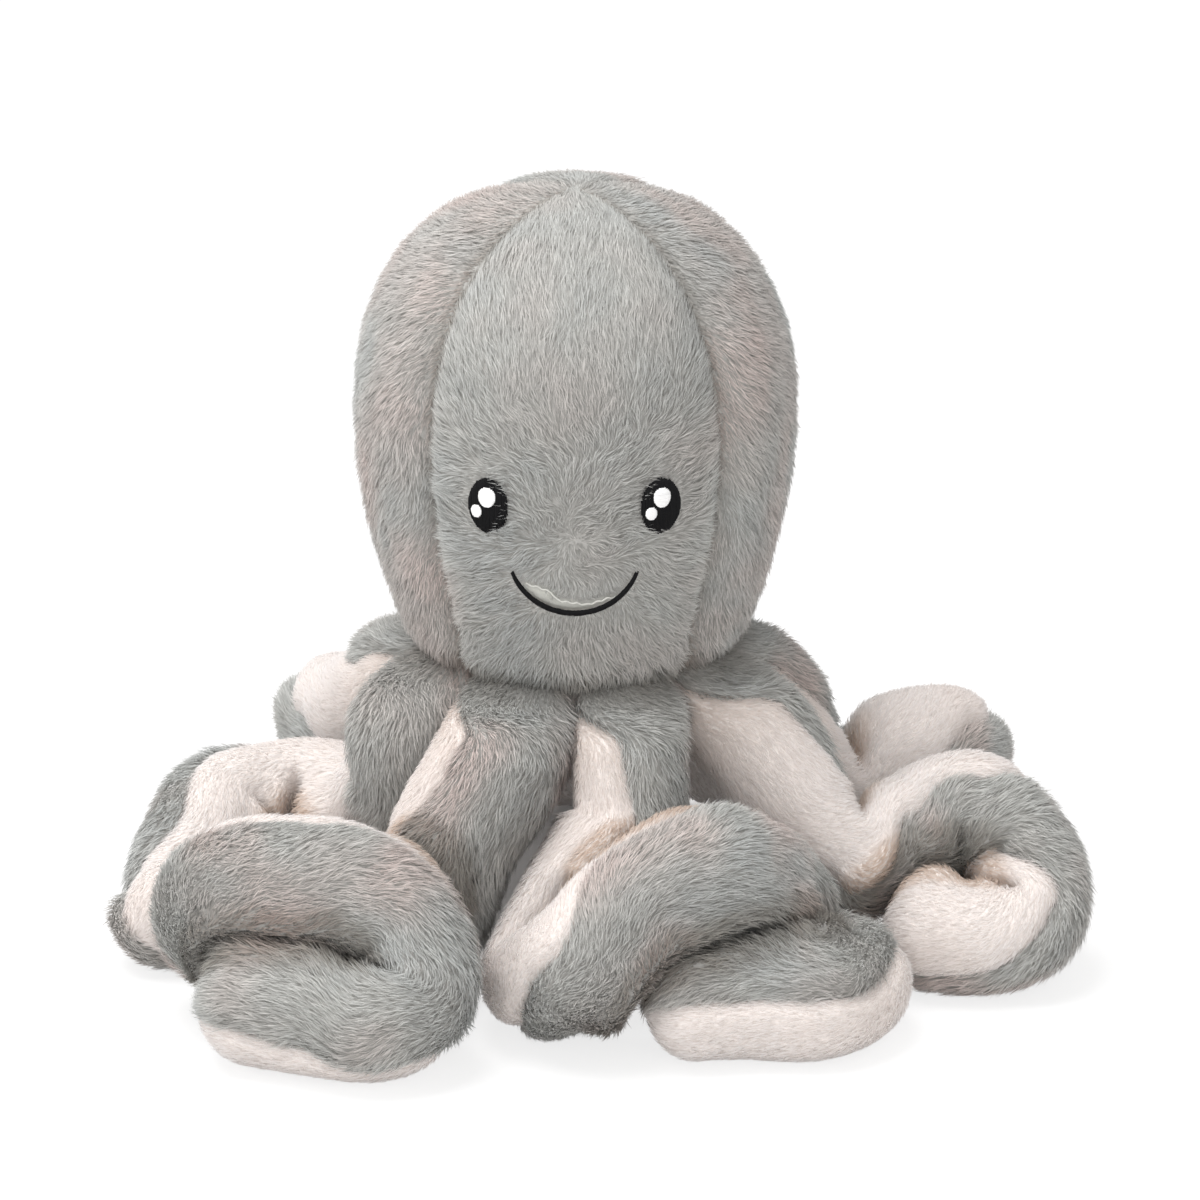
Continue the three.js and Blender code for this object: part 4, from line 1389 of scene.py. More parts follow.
@dataclass
class Face:
    """The embroidered face on the front gore, in millimetres over the head's surface.

    Each glint has a name, a width, and a place from the eye's middle as shares of the eye.
    """

    eye_spacing: float = 52.0
    eye_height: float = 157.0
    eye_width: float = 12.5
    eye_tall: float = 17.5
    eye_lift: float = 0.35
    eye_dome: float = 0.8
    glints: tuple[tuple[str, float, float, float], ...] = (
        ("large", 5.4, 0.0, 0.17), ("small", 3.4, -0.26, -0.1))
    glint_tall: float = 1.15
    glint_lift: float = 1.25
    glint_dome: float = 0.35
    smile_width: float = 37.0
    smile_sag: float = 13.0
    smile_low: float = 123.0
    smile_stroke: float = 1.6
    whorl_height: float = 146.0
    welt: tuple[Span, ...] = (
        (-14.5, 132.2), (-10.5, 131.3), (-7.0, 129.9), (-5.2, 127.3), (-2.4, 126.6), (0.5, 126.2),
        (3.6, 125.7), (6.8, 126.6), (9.8, 127.6), (13.2, 127.9))
    fur: FacePile = FacePile()
    sewn: Stitching = Stitching()

    @property
    def smile_radius(self) -> float:
        """Radius of the smile's arc."""
        half = self.smile_width / 2
        return (half * half + self.smile_sag**2) / (2 * self.smile_sag)

    @property
    def smile_reach(self) -> float:
        """Half the angle that the smile's arc spans."""
        return math.asin(self.smile_width / 2 / self.smile_radius)

    @staticmethod
    def point(across: Array, height: Array, lift: Array | float) -> Array:
        """Give points of the face: across from the middle, at a height, lifted off the pressed pile."""
        radius = SIZE.radius_at(height)
        angle = -math.pi / 2 + across / radius
        out = radius + lift
        return np.stack([out * np.cos(angle), out * np.sin(angle), height + 0 * across], -1)

    def eye_distance(self, across: Array, height: Array) -> Array:
        """Give the distance to the nearer eye's edge, negative inside."""
        half = np.array([self.eye_width / 2, self.eye_tall / 2])
        out = []
        for side in (-1, 1):
            spot = np.stack([across - side * self.eye_spacing / 2, height - self.eye_height], -1) / half
            out.append((np.linalg.norm(spot, axis=-1) - 1) * half.mean())
        return np.minimum(*out)

    def smile_distance(self, across: Array, height: Array) -> Array:
        """Give the distance to the line of the smile."""
        x, y = across, height - (self.smile_low + self.smile_radius)
        angle = np.clip(np.arctan2(x, -y), -self.smile_reach, self.smile_reach)
        near = np.stack([np.sin(angle), -np.cos(angle)], -1) * self.smile_radius
        return np.linalg.norm(np.stack([x, y], -1) - near, axis=-1)

    def _cut_line(self, across: Array) -> Array:
        """Give the height of the line of the cut pile above the shaved patch."""
        welt = np.array(self.welt)
        return np.interp(across, welt[:, 0], welt[:, 1])

    def shaved(self, across: Array, height: Array) -> Array:
        """Give 1 on the patch between the smile and the line of the cut pile above it, with a soft edge."""
        below = np.sqrt(np.maximum(self.smile_radius**2 - across**2, 0))
        arc = self.smile_low + self.smile_radius - below
        edge = self.fur.patch_edge
        inside = edge.at(self._cut_line(across) - height) * edge.at(height - arc)
        return inside * (np.abs(across) < self.fur.patch_half)

    def above_patch(self, across: Array, height: Array) -> Array:
        """Give the height above the line of the cut pile, or no_patch where there is none below."""
        above = height - self._cut_line(across)
        near = (np.abs(across) < self.fur.patch_half) & (height > self._cut_line(across) - 1)
        return np.where(near, above, self.fur.no_patch)

    def masks(self, across: Array, height: Array) -> tuple[Array, Array, Array, Array]:
        """Give the pile's length, cover and lie, and the shaved patch, over the face."""
        fur = self.fur
        eye = self.eye_distance(across, height)
        smile = self.smile_distance(across, height)
        patch = self.shaved(across, height)
        above = self.above_patch(across, height)
        from_whorl = np.hypot(across, height - self.whorl_height)
        fringe = fur.fringe.at(eye) * (np.abs(across) < self.eye_spacing / 2)
        length = fur.by_eye.at(eye) + fur.fringe_length * fringe
        length = np.minimum(length, fur.by_smile.at(smile))
        length = np.minimum(length, np.where(above > -1, fur.by_patch.at(above), 1.0))
        length = length * fur.by_whorl.at(from_whorl)
        cover = (eye > fur.bare_eye) * (smile > fur.bare_smile) * (patch < fur.bare_patch)
        cover = cover * ((above < -1) | (above > fur.bare_edge))
        spot = np.stack([across, height, 0 * across], -1)
        lie = fur.lie_by_whorl.at(from_whorl) * (1 + fur.lie_waves.at(spot))
        return length, cover.astype(float), lie * (1 - fur.fringe_upright * fringe), patch

    def flow(self, across: Array, height: Array) -> tuple[Array, Array]:
        """Give how the pile lies on the face: fanning out from a whorl between the eyes and the smile."""
        fur = self.fur
        x, y = across, height - self.whorl_height
        reach = np.hypot(x, y) + 1e-6
        spot = np.stack([x, y, 0 * x], -1)
        stray = fur.whorl_waves.at(spot) * fur.whorl_fade.at(reach)
        stray = stray + sum(wave.at(spot) for wave in fur.tousle) * fur.tousle_fade.at(y)
        narrow = np.where(y > 0, fur.upward.at(y), 1.0)
        turn = np.arctan2(x * narrow, -y) + stray
        return np.sin(turn), -np.cos(turn)

    def threads(self, oval: Oval, half: float) -> list[Array]:
        """Give satin threads side by side over an oval.

        Args:
            oval: The oval.
            half: Half the thread's thickness.

        Returns:
            One line of points for each thread.
        """
        sewn = self.sewn
        long, short = (oval.tall, oval.wide) if oval.upright else (oval.wide, oval.tall)
        count = max(round(short / (half * sewn.pitch)), 3)
        rng = np.random.default_rng(round(abs(oval.across) * 10) + round(oval.wide * 7))
        lines = []
        for k in range(count):
            offset = (k + 0.5) / count * 2 - 1
            end = math.sqrt(1 - offset**2) * (1 + rng.uniform(*sewn.ragged))
            run = np.linspace(-1, 1, sewn.points) * end
            other = offset * short / 2 + rng.normal(0, sewn.wander, 1) + 0 * run
            rise = oval.lift + oval.dome * np.sqrt(np.maximum(1 - run**2 - offset**2, 0))
            rise = rise - sewn.tuck * (np.abs(run) > sewn.tuck_from * end)
            main = run * long / 2
            a, b = (other, main) if oval.upright else (main, other)
            lines.append(self.point(oval.across + a, oval.height + b, rise))
        return lines

    def smile_threads(self) -> list[Array]:
        """Give short satin threads laid across the line of the smile."""
        sewn = self.sewn
        middle = self.smile_low + self.smile_radius
        lines = []
        count = round(2 * self.smile_reach * self.smile_radius / sewn.smile_pitch)
        rng = np.random.default_rng(5)
        for k in range(count + 1):
            turn = self.smile_reach * (2 * k / count - 1)
            stroke = self.smile_stroke * (1 - sewn.smile_taper * abs(turn / self.smile_reach) ** 3)
            run = np.array(sewn.smile_across) * (1 + rng.uniform(*sewn.smile_ragged))
            out = self.smile_radius + run * stroke / 2
            slant = turn + run * sewn.smile_slant
            rise = np.array(sewn.smile_rise) + rng.uniform(*sewn.smile_uneven)
            lines.append(self.point(out * np.sin(slant), middle - out * np.cos(slant), rise))
        return lines

    def edge_line(self) -> Array:
        """Give the fine line along the cut pile above the shaved patch."""
        sewn = self.sewn
        across = np.linspace(self.welt[0][0], self.welt[-1][0], sewn.edge_points)
        height = self._cut_line(across) + sewn.edge_wander * np.sin(across * sewn.edge_waves)
        return self.point(across, height, sewn.edge_sink)

    def pad(self, name: str, oval: Oval) -> Body:
        """Make the domed base under an oval's threads, as a closed body.

        Args:
            name: The object's name.
            oval: The oval.

        Returns:
            The body.
        """
        sewn = self.sewn
        wide, tall = oval.wide * sewn.pad_share, oval.tall * sewn.pad_share
        rings, facets = sewn.pad_rings, sewn.pad_facets
        turns = np.linspace(0, 2 * math.pi, facets, endpoint=False)
        rows = [self._ring(oval, wide, tall, turns, 1.0, oval.lift - sewn.pad_depth)]
        for share in np.sin(np.linspace(math.pi / 2, 0, rings)):
            rise = oval.lift + oval.dome * math.sqrt(max(1 - share**2, 0)) - sewn.pad_sink
            rows.append(self._ring(oval, wide, tall, turns, share, rise))
        centre = np.array([oval.across]), np.array([oval.height])
        points = np.concatenate([*rows, self.point(*centre, oval.lift - sewn.pad_depth)])
        faces: list[tuple[int, ...]] = []
        for ring in range(rings):
            for k in range(facets):
                a, b = ring * facets + k, ring * facets + (k + 1) % facets
                faces.append((a, b, b + facets, a + facets))
        faces += [((k + 1) % facets, k, len(points) - 1) for k in range(facets)]
        made = mesh_object(name, points, faces)
        tidy_mesh(made, 1e-7)
        return made

    def _ring(self, oval: Oval, wide: float, tall: float, turns: Array, share: float, rise: float) -> Array:
        """Give a ring of an oval's pad at a share of its size."""
        across = oval.across + share * wide / 2 * np.cos(turns)
        return self.point(across, oval.height + share * tall / 2 * np.sin(turns), rise)


def joined(name: str, objects: list[Body]) -> Body:
    """Join objects into the first and rename it.

    Args:
        name: The new name.
        objects: What to join.

    Returns:
        The joined object.
    """
    with bpy.context.temp_override(active_object=objects[0], object=objects[0], selected_objects=objects,
                                   selected_editable_objects=objects):
        bpy.ops.object.join()
    objects[0].name = name
    objects[0].data.name = name
    return objects[0]


@dataclass
class Head:
    """The stuffed head: four gores of fur, the base panel, the filling and the embroidered face."""

    furrier: Furrier
    finishes: Finishes
    threads: ThreadTree
    face: Face = field(default_factory=Face)
    columns: int = 40
    rows: int = 64
    gores: tuple[tuple[str, float], ...] = (
        ("face_panel", -90.0), ("right_side_panel", 0.0), ("back_panel", 90.0), ("left_side_panel", 180.0))
    crown_radius: float = 8.0
    full_radius: float = 30.0
    hem_drop: float = 1.2
    hem_sink: float = 4.2
    hem_reach: float = 3.4
    hem_shade: Ramp = Ramp(6.0, 0.0, 0.0, 0.6)
    hem_lie: Ramp = Ramp(5.0, 0.0, 1.0, -0.6)
    seam_start: Ramp = Ramp(0.0, 14.0, 0.15, 0.85)
    seam_pile: Ramp = Ramp(1.0, 9.0, 0.5, 0.5)
    seam_shade: float = 0.75
    seam_shade_reach: float = 2.2
    swell: Wave = Wave(0.7, 34.0, 2.0)
    swell_start: Ramp = Ramp(0.0, 12.0)
    shaved_rise: float = 1.3
    side_sweep: Ramp = Ramp(0.1, 0.8, 0.5, 0.8)
    fan: float = 0.35
    crown_lie: Ramp = Ramp(0.3, 0.9, 1.0, 0.1)
    crown_short: Span = (1.5, 12.0)
    crown_pile: Span = (0.75, 0.25)
    patches: Wave = Wave(0.5, 30.0, 7.0)
    patch_edge: Ramp = Ramp(0.45, 0.8)
    face_blush: float = 0.12
    side_blush: Span = (0.35, 0.5)
    filling_gap: float = 0.5
    base_facets: int = 64
    base_rows: int = 15
    base_radius: float = 37.0
    base_round: float = 7.0
    base_half: float = 1.1

    def _heights(self) -> Array:
        """Give the heights of the rows, closer near the crown."""
        below = np.linspace(SIZE.neck_height - self.hem_drop, SIZE.equator, self.rows)[:-1]
        above = SIZE.equator + (SIZE.rise - CUT.inset) * np.sin(np.linspace(0, math.pi / 2, self.rows))
        return np.concatenate([below, above])

    def _gore(self, middle: float, inset: float) -> tuple[Array, Array, Array]:
        """Lay out a gore at a depth inside the pressed pile.

        Args:
            middle: The direction of its middle, in radians.
            inset: The depth, in millimetres.

        Returns:
            Its points, and the angle and height of each.
        """
        height, turn = np.meshgrid(self._heights(), np.linspace(-1, 1, self.columns + 1), indexing="ij")
        angle = middle + turn * math.pi / SIZE.gores
        scale = (SIZE.rise - inset) / SIZE.rise
        above = height > SIZE.equator
        outer_height = np.where(above, SIZE.equator + (height - SIZE.equator) / scale, height)
        full = SIZE.radius_at(np.minimum(outer_height, SIZE.equator + SIZE.rise))
        shrink = np.where(above, full * inset / SIZE.radius, inset)
        arc = (1 - np.abs(turn)) * math.pi / SIZE.gores * np.maximum(full, self.crown_radius)
        above_neck = height - SIZE.neck_height
        wide = np.minimum(1, full / self.full_radius)
        dip = CUT.head_seam_dip * np.exp(-((arc / CUT.head_seam_reach) ** 2)) * wide
        dip = dip * self.seam_start.at(above_neck)
        hem = self.hem_sink * np.exp(-((above_neck + self.hem_drop) / self.hem_reach) ** 2)
        spot = np.stack([full * np.cos(angle), full * np.sin(angle), height], -1)
        swell = self.swell.at(spot) * self.swell_start.at(above_neck)
        if middle < -1:
            swell = swell + self.shaved_rise * self.face.shaved((angle + math.pi / 2) * full, height)
        radius = np.maximum(full - shrink - dip - hem + swell * wide, 0)
        return np.stack([radius * np.cos(angle), radius * np.sin(angle), height], -1), angle, height

    def _filling(self) -> None:
        """Make the stuffing of the head as one closed body under the skin."""
        depth = CUT.inset + CUT.thickness + self.filling_gap
        grid = np.concatenate([self._gore(math.radians(d), depth)[0][:, :-1] for _, d in self.gores], 1)
        grid = np.concatenate([grid, grid[:, :1]], 1)
        rows, columns = grid.shape[:2]
        points = np.concatenate([grid.reshape(-1, 3), grid[0, :-1].mean(0)[None]])
        fan = [(k + 1, k, rows * columns) for k in range(columns - 1)]
        made = mesh_object("head_stuffing", points, grid_faces(rows, columns).tolist() + fan)
        tidy_mesh(made)
        made.data.materials.append(self.finishes.filling)
        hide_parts("head_filling")
        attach(made, "head")

    def _shell(self, name: str, middle: float) -> Shell:
        """Lay out one gore with its pile."""
        outer, angle, height = self._gore(middle, CUT.inset)
        inner, _, _ = self._gore(middle, CUT.inset + CUT.thickness)
        rising = unit(np.gradient(outer, axis=0))
        rising[-1] = rising[-2]
        side = np.stack([-np.sin(angle), np.cos(angle), np.zeros_like(angle)], -1)
        rise = (height - SIZE.equator) / SIZE.rise
        if name.endswith("side_panel"):
            spread = self.side_sweep.at(rise) * (1 if name.startswith("right") else -1)
        else:
            spread = self.fan * np.sin((angle - middle) * 2)
        flow = side * spread[..., None] - rising
        ones = np.ones_like(angle)
        above_neck = height - SIZE.neck_height
        radius = np.maximum(SIZE.radius_at(height), self.crown_radius)
        from_seam = (math.pi / SIZE.gores - np.abs(angle - middle)) * radius
        top = SIZE.equator + SIZE.rise
        crown = Ramp(top - self.crown_short[0], top - self.crown_short[1], *self.crown_pile)
        pile = ones * self.seam_pile.at(from_seam) * crown.at(height)
        cover, lie, shaved = ones.copy(), ones.copy(), np.zeros_like(angle)
        rough = self.patch_edge.at(self.patches.at(outer) + 0.5)
        if name == "face_panel":
            blush = self.face_blush * rough
            across = (angle + math.pi / 2) * SIZE.radius_at(height)
            length, cover, lie, shaved = self.face.masks(across, height)
            pile = pile * length
            aside, up = self.face.flow(across, height)
            flow = side * aside[..., None] + rising * up[..., None]
        else:
            blush = self.side_blush[0] + self.side_blush[1] * rough
        lie = lie * self.crown_lie.at(rise) * self.hem_lie.at(above_neck)
        seam = self.seam_shade * np.exp(-((from_seam / self.seam_shade_reach) ** 2))
        shade = np.minimum(seam + self.hem_shade.at(above_neck), 1)
        return Shell(outer, inner, unit(flow), pile, cover, lie, blush, shade, shaved)

    def build(self) -> None:
        """Build and dress the whole head."""
        for seed, (name, degrees) in enumerate(self.gores):
            shell = self._shell(name, math.radians(degrees))
            backing, pile = self.furrier.dress(name, shell, Cloth.GREY, 40 + seed)
            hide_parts(name)
            for made in (backing, pile):
                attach(made, "head")
        self._filling()
        self._base()
        self._embroidery()

    def _base(self) -> None:
        """Make the round panel between the arm roots."""
        turns = np.linspace(0, 2 * math.pi, self.base_facets, endpoint=False)
        middle = SIZE.neck_height - SIZE.gap - SIZE.base_thickness / 2
        rows = []
        for tilt in np.linspace(-math.pi / 2, math.pi / 2, self.base_rows):
            pole = abs(tilt) >= 1.57
            radius = 0.0 if pole else self.base_radius + self.base_round * math.cos(tilt)
            height = middle + self.base_half * math.sin(tilt)
            rows.append(np.stack([radius * np.cos(turns), radius * np.sin(turns), height + 0 * turns], -1))
        points = np.array(rows)
        index = np.arange(self.base_rows * self.base_facets).reshape(-1, self.base_facets)
        quads = quads_of(np.concatenate([index, index[:, :1]], 1))
        panel = mesh_object("base_cloth", points.reshape(-1, 3), quads)
        tidy_mesh(panel)
        panel.data.materials.append(self.finishes.backing[Cloth.PINK])
        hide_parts("base_panel")
        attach(panel, "head")

    def _embroider(self, name: str, finish: ThreadFinish, oval: Oval) -> None:
        """Embroider one oval and let it stand for its CAD node."""
        lines = self.face.threads(oval, finish.half)
        material = self.finishes.thread[finish]
        threads = self.threads.sew(f"{name}_threads", lines, finish.half, material)
        pad = self.face.pad(f"{name}_pad", oval)
        pad.data.materials.append(material)
        whole = joined(f"{name}_stitches", [pad, threads])
        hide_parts(name)
        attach(whole, "head")
        LOG.info("%s: %d threads", name, len(lines))

    def _embroidery(self) -> None:
        """Embroider the eyes, their glints, the smile and the line of the cut pile."""
        face = self.face
        for side, sign in (("left", -1), ("right", 1)):
            eye = Oval(sign * face.eye_spacing / 2, face.eye_height, face.eye_width, face.eye_tall,
                       face.eye_lift, face.eye_dome, True)
            self._embroider(f"{side}_eye", BLACK_THREAD, eye)
            for size, wide, aside, up in face.glints:
                glint = Oval(eye.across + aside * eye.wide, eye.height + up * eye.tall, wide,
                             wide * face.glint_tall, face.glint_lift, face.glint_dome, False)
                self._embroider(f"{side}_eye_{size}_glint", WHITE_THREAD, glint)
        thread = self.finishes.thread
        smile = self.threads.sew("smile_stitches", face.smile_threads(), BLACK_THREAD.half,
                                 thread[BLACK_THREAD])
        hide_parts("smile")
        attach(smile, "head")
        edge = self.threads.sew("cut_pile_edge", [face.edge_line()], PALE_THREAD.half,
                                thread[PALE_THREAD])
        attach(edge, "head")


@dataclass
class Arm:
    """One arm: a grey panel and a pink panel sewn edge to edge over a core of filling."""

    plan: ArmPlan
    furrier: Furrier
    finishes: Finishes
    seed: int
    columns: int = 22
    spacing: float = 2.6
    tip_rows: int = 9
    tip_length: float = 0.95
    bend_share: float = 0.8
    least_reach: float = 0.3
    swell: Wave = Wave(0.8, 26.0)
    swell_start: Ramp = Ramp(20.0, 60.0)
    tuck: Ramp = Ramp(11.0, 0.0)
    tuck_depth: float = 6.5
    tuck_lift: float = 3.0
    wedge_gap: float = 0.6
    floor_gap: float = 1.2
    filling_gap: float = 0.4
    filling_drop: float = -5.0
    fold_growth: float = 6.5
    fold_room: Span = (2.1, 1.1)
    fold_start: Ramp = Ramp(40.0, 60.0)
    facing: Ramp = Ramp(0.45, 0.75)
    touching: Ramp = Ramp(0.6, 3.2)
    pinched: Ramp = Ramp(0.86, 0.55)
    fold_shade: float = 0.75
    root_pile: Ramp = Ramp(0.0, 12.0, 0.7, 0.3)
    root_shade: Ramp = Ramp(12.0, 0.0, 0.0, 0.7)
    under_shade: Ramp = Ramp(55.0, 8.0, 0.0, 0.35)
    floor_cover: Span = (2.5, 0.5)
    floor_lie: Ramp = Ramp(16.0, 5.0, 1.0, 0.15)
    patches: Wave = Wave(0.5, 28.0)
    patch_edge: Ramp = Ramp(0.5, 0.9)
    blend_inside: float = 8.0
    blend_across: float = 14.0
    blend_down: float = 26.0

    def __post_init__(self) -> None:
        """Lay the arm's course."""
        self.course = ArmCourse(self.plan)

    def _reach(self, share: Array, girth: Array, ray: Array) -> Array:
        """Give how far the skin lies from the centre line, drawn in on the inside of bends.

        Args:
            share: The rings' shares of the length.
            girth: The arm's radius by ring.
            ray: The direction of each point from its centre.

        Returns:
            The distance along each ray.
        """
        course = self.course
        reach = np.repeat(girth[:, None], ray.shape[1], 1)
        own = course.centre(share)
        for beside in course.BESIDE:
            there = share + beside * girth / course.length
            good = (there > 0) & (there < 1)
            normal = course.along(there) * np.sign(beside)
            room = (normal * (course.centre(there) - own)).sum(-1)
            towards = (normal[:, None] * ray).sum(-1)
            limit = self.bend_share * room[:, None] / np.maximum(towards, 1e-6)
            use = (good & (room > 0))[:, None] & (towards > 1e-6)
            reach = np.where(use, np.minimum(reach, limit), reach)
        reach = np.maximum(reach, self.least_reach * girth[:, None])
        body = blurred(reach[: len(share) - self.tip_rows, :-1], 3, 2)
        reach[: len(share) - self.tip_rows] = np.concatenate([body, body[:, :1]], 1)
        return reach

    def _grid(self, inset: float, apart: float, lift: float) -> tuple[Array, Array, Array]:
        """Give the arm's rings as points, with the length run and the folds.

        Args:
            inset: How far inside the outline the surface lies.
            apart: Half the gap of the seam between the panels.
            lift: How far the root is drawn up under the head.

        Returns:
            Points by row and column, millimetres run by row, and how deep in a fold each point lies.
        """
        course = self.course
        end = 1 - 0.5 * SIZE.arm_width / course.length
        share = course.shares(end, self.spacing)
        share = np.concatenate([share, np.full(self.tip_rows, end)])
        run = share * course.length
        tips = np.zeros(len(share))
        tips[-self.tip_rows:] = np.linspace(0, math.pi / 2, self.tip_rows + 1)[1:]
        centre, girth, along, top, side = course.frames(share)
        centre = centre + along * ((girth * self.tip_length - inset) * np.sin(tips))[:, None]
        angle = np.linspace(0, 2 * math.pi, 2 * self.columns + 1)
        ray = side[:, None] * np.cos(angle)[None, :, None] + top[:, None] * np.sin(angle)[None, :, None]
        reach = self._reach(share, girth, ray)
        grown = self._fold_fill(course.centre(share), ray, reach, girth, run)
        fold = np.maximum(self.touching.at(grown), self.pinched.at(reach / girth[:, None]))
        reach = reach + grown
        arc = np.minimum(np.abs(np.sin(angle)), 1)[None] * girth[:, None]
        dip = CUT.seam_dip * np.exp(-((arc / CUT.seam_reach) ** 2))
        spot = centre[:, None] + ray * reach[..., None]
        swell = self.swell.at(spot, self.seed * 1.7) * self.swell_start.at(run)[:, None]
        tuck = self.tuck.at(run)
        reach = reach - inset - dip + swell - (self.tuck_depth * tuck)[:, None]
        reach = self._wedged(centre, ray, reach * np.cos(tips)[:, None], run)
        points = centre[:, None] + ray * np.maximum(reach, 0)[..., None]
        points[..., 2] = np.maximum(points[..., 2], self.floor_gap + inset - CUT.inset)
        points = points + top[:, None] * apart
        points[..., 2] += (tuck * lift)[:, None]
        return points, run, fold

    def _wedged(self, centre: Array, ray: Array, reach: Array, run: Array) -> Array:
        """Keep the root inside its wedge between the neighbouring arms and the base panel.

        Args:
            centre: The rings' centres.
            ray: The direction of each point from its centre.
            reach: How far the surface lies along it.
            run: Millimetres run by ring.

        Returns:
            The reach that stays inside.
        """
        course = self.course
        loose = smooth(course.STRAIGHT_END, course.WEDGE_END, run) * SIZE.neck_radius
        beside = math.pi / 2 - math.pi / SIZE.arm_count
        for turn, middle in ((beside, 0), (-beside, 0), (0, SIZE.arm_width / 5)):
            normal = np.array([math.cos(course.turn + turn), math.sin(course.turn + turn), 0])
            room = centre @ normal - (self.wedge_gap + SIZE.gap / 2 + middle) + loose
            towards = -(ray @ normal)
            limit = room[:, None] / np.maximum(towards, 1e-6)
            reach = np.where(towards > 1e-6, np.minimum(reach, limit), reach)
        return reach

    def _fold_fill(self, own: Array, ray: Array, reach: Array, girth: Array, run: Array) -> Array:
        """Give how far soft lobes that face each other across a narrow fold swell until they touch.

        Args:
            own: The centres of the rings.
            ray: The direction of each point from its centre.
            reach: How far the surface lies along it.
            girth: The arm's radius by ring.
            run: Millimetres run by ring.

        Returns:
            The growth along each ray, in millimetres.
        """
        between = own[None] - own[:, None]
        far = np.linalg.norm(between, axis=-1)
        other = np.abs(run[None] - run[:, None]) > girth[None] + girth[:, None]
        towards = np.einsum("imd,ikd->imk", ray, between / np.maximum(far, 1e-6)[..., None])
        meets = other[:, None] & (towards > self.facing.start)
        half = np.where(meets, far[:, None] / 2 / np.maximum(towards, 1e-6), 1e6)
        room = half.min(-1) - reach
        facing = np.take_along_axis(towards, half.argmin(-1)[..., None], -1)[..., 0]
        near = smooth(*(share * self.fold_growth for share in self.fold_room), room)
        grown = np.clip(room, 0, self.fold_growth) * near
        grown = grown * self.facing.at(facing) * self.fold_start.at(run)[:, None]
        body = blurred(grown[:, :-1], 2, 1)
        return np.concatenate([body, body[:, :1]], 1)

    def _filling(self) -> Body:
        """Make the core of filling as one closed body."""
        depth = CUT.inset + CUT.thickness + self.filling_gap
        points, _, _ = self._grid(depth, 0.0, self.filling_drop)
        rows, columns = points.shape[:2]
        faces = grid_faces(rows, columns)
        root = points[0, :-1].mean(0)
        every = np.concatenate([points.reshape(-1, 3), root[None]])
        fan = [(k + 1, k, rows * columns) for k in range(columns - 1)]
        made = mesh_object(f"{self.plan.name}_stuffing", every, faces.tolist() + fan)
        tidy_mesh(made)
        made.data.materials.append(self.finishes.filling)
        return made

    def _shell(self, cloth: Cloth) -> Shell:
        """Lay out the grey or the pink panel with its pile."""
        grey = cloth is Cloth.GREY
        cut = np.s_[: self.columns + 1] if grey else np.s_[self.columns:]
        apart = CUT.seam_half_gap if grey else -CUT.seam_half_gap
        outer, run, fold = self._grid(CUT.inset, apart, self.tuck_lift)
        inner, _, _ = self._grid(CUT.inset + CUT.thickness, apart, self.tuck_lift)
        outer, inner = outer[:, cut], inner[:, cut]
        flow = np.gradient(outer, axis=0)
        flow[-1] = flow[-2]
        ones = np.ones(outer.shape[:2])
        pile = ones * self.root_pile.at(run)[:, None]
        cover = ones * np.where(outer[..., 2] < self.floor_cover[0], self.floor_cover[1], 1.0)
        blush = self.patch_edge.at(self.patches.at(outer, self.seed * 1.3) + 0.5)
        shade = ones * self.root_shade.at(run)[:, None]
        if not grey:
            shade = shade + self.under_shade.at(run)[:, None]
        shade = np.minimum(np.maximum(shade, self.fold_shade * fold[:, cut]), 1)
        lie = self.floor_lie.at(outer[..., 2])
        return Shell(outer, inner, unit(flow), pile, cover, lie, blush, shade)

    def build(self) -> None:
        """Build and dress the arm, and bake its pieces in place."""
        made = []
        panels = ("top", Cloth.GREY, self.seed * 2 + 1), ("under", Cloth.PINK, self.seed * 2)
        for part, cloth, seed in panels:
            name = f"{self.plan.name}_{part}_panel"
            backing, strands = self.furrier.dress(name, self._shell(cloth), cloth, seed)
            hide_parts(name)
            made += [backing, strands]
        core = self._filling()
        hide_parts(f"{self.plan.name}_filling")
        made.append(core)
        low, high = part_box("base_panel")
        axis = np.array([(low[0] + high[0]) / 2, (low[1] + high[1]) / 2, 0])
        outward = self.course.outward
        start = axis + outward * (SIZE.neck_radius - self.blend_inside) * MM
        start = start + np.array([0, 0, SIZE.root_height * MM])
        for piece in made:
            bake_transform(piece)
        LOG.info("%s: %.0f mm long", self.plan.name, self.course.length)


@dataclass(frozen=True)
class Lamp:
    """A soft round lamp that looks at the toy: its place and width in metres, and its watts."""

    name: str
    place: Row
    size: float
    watts: float


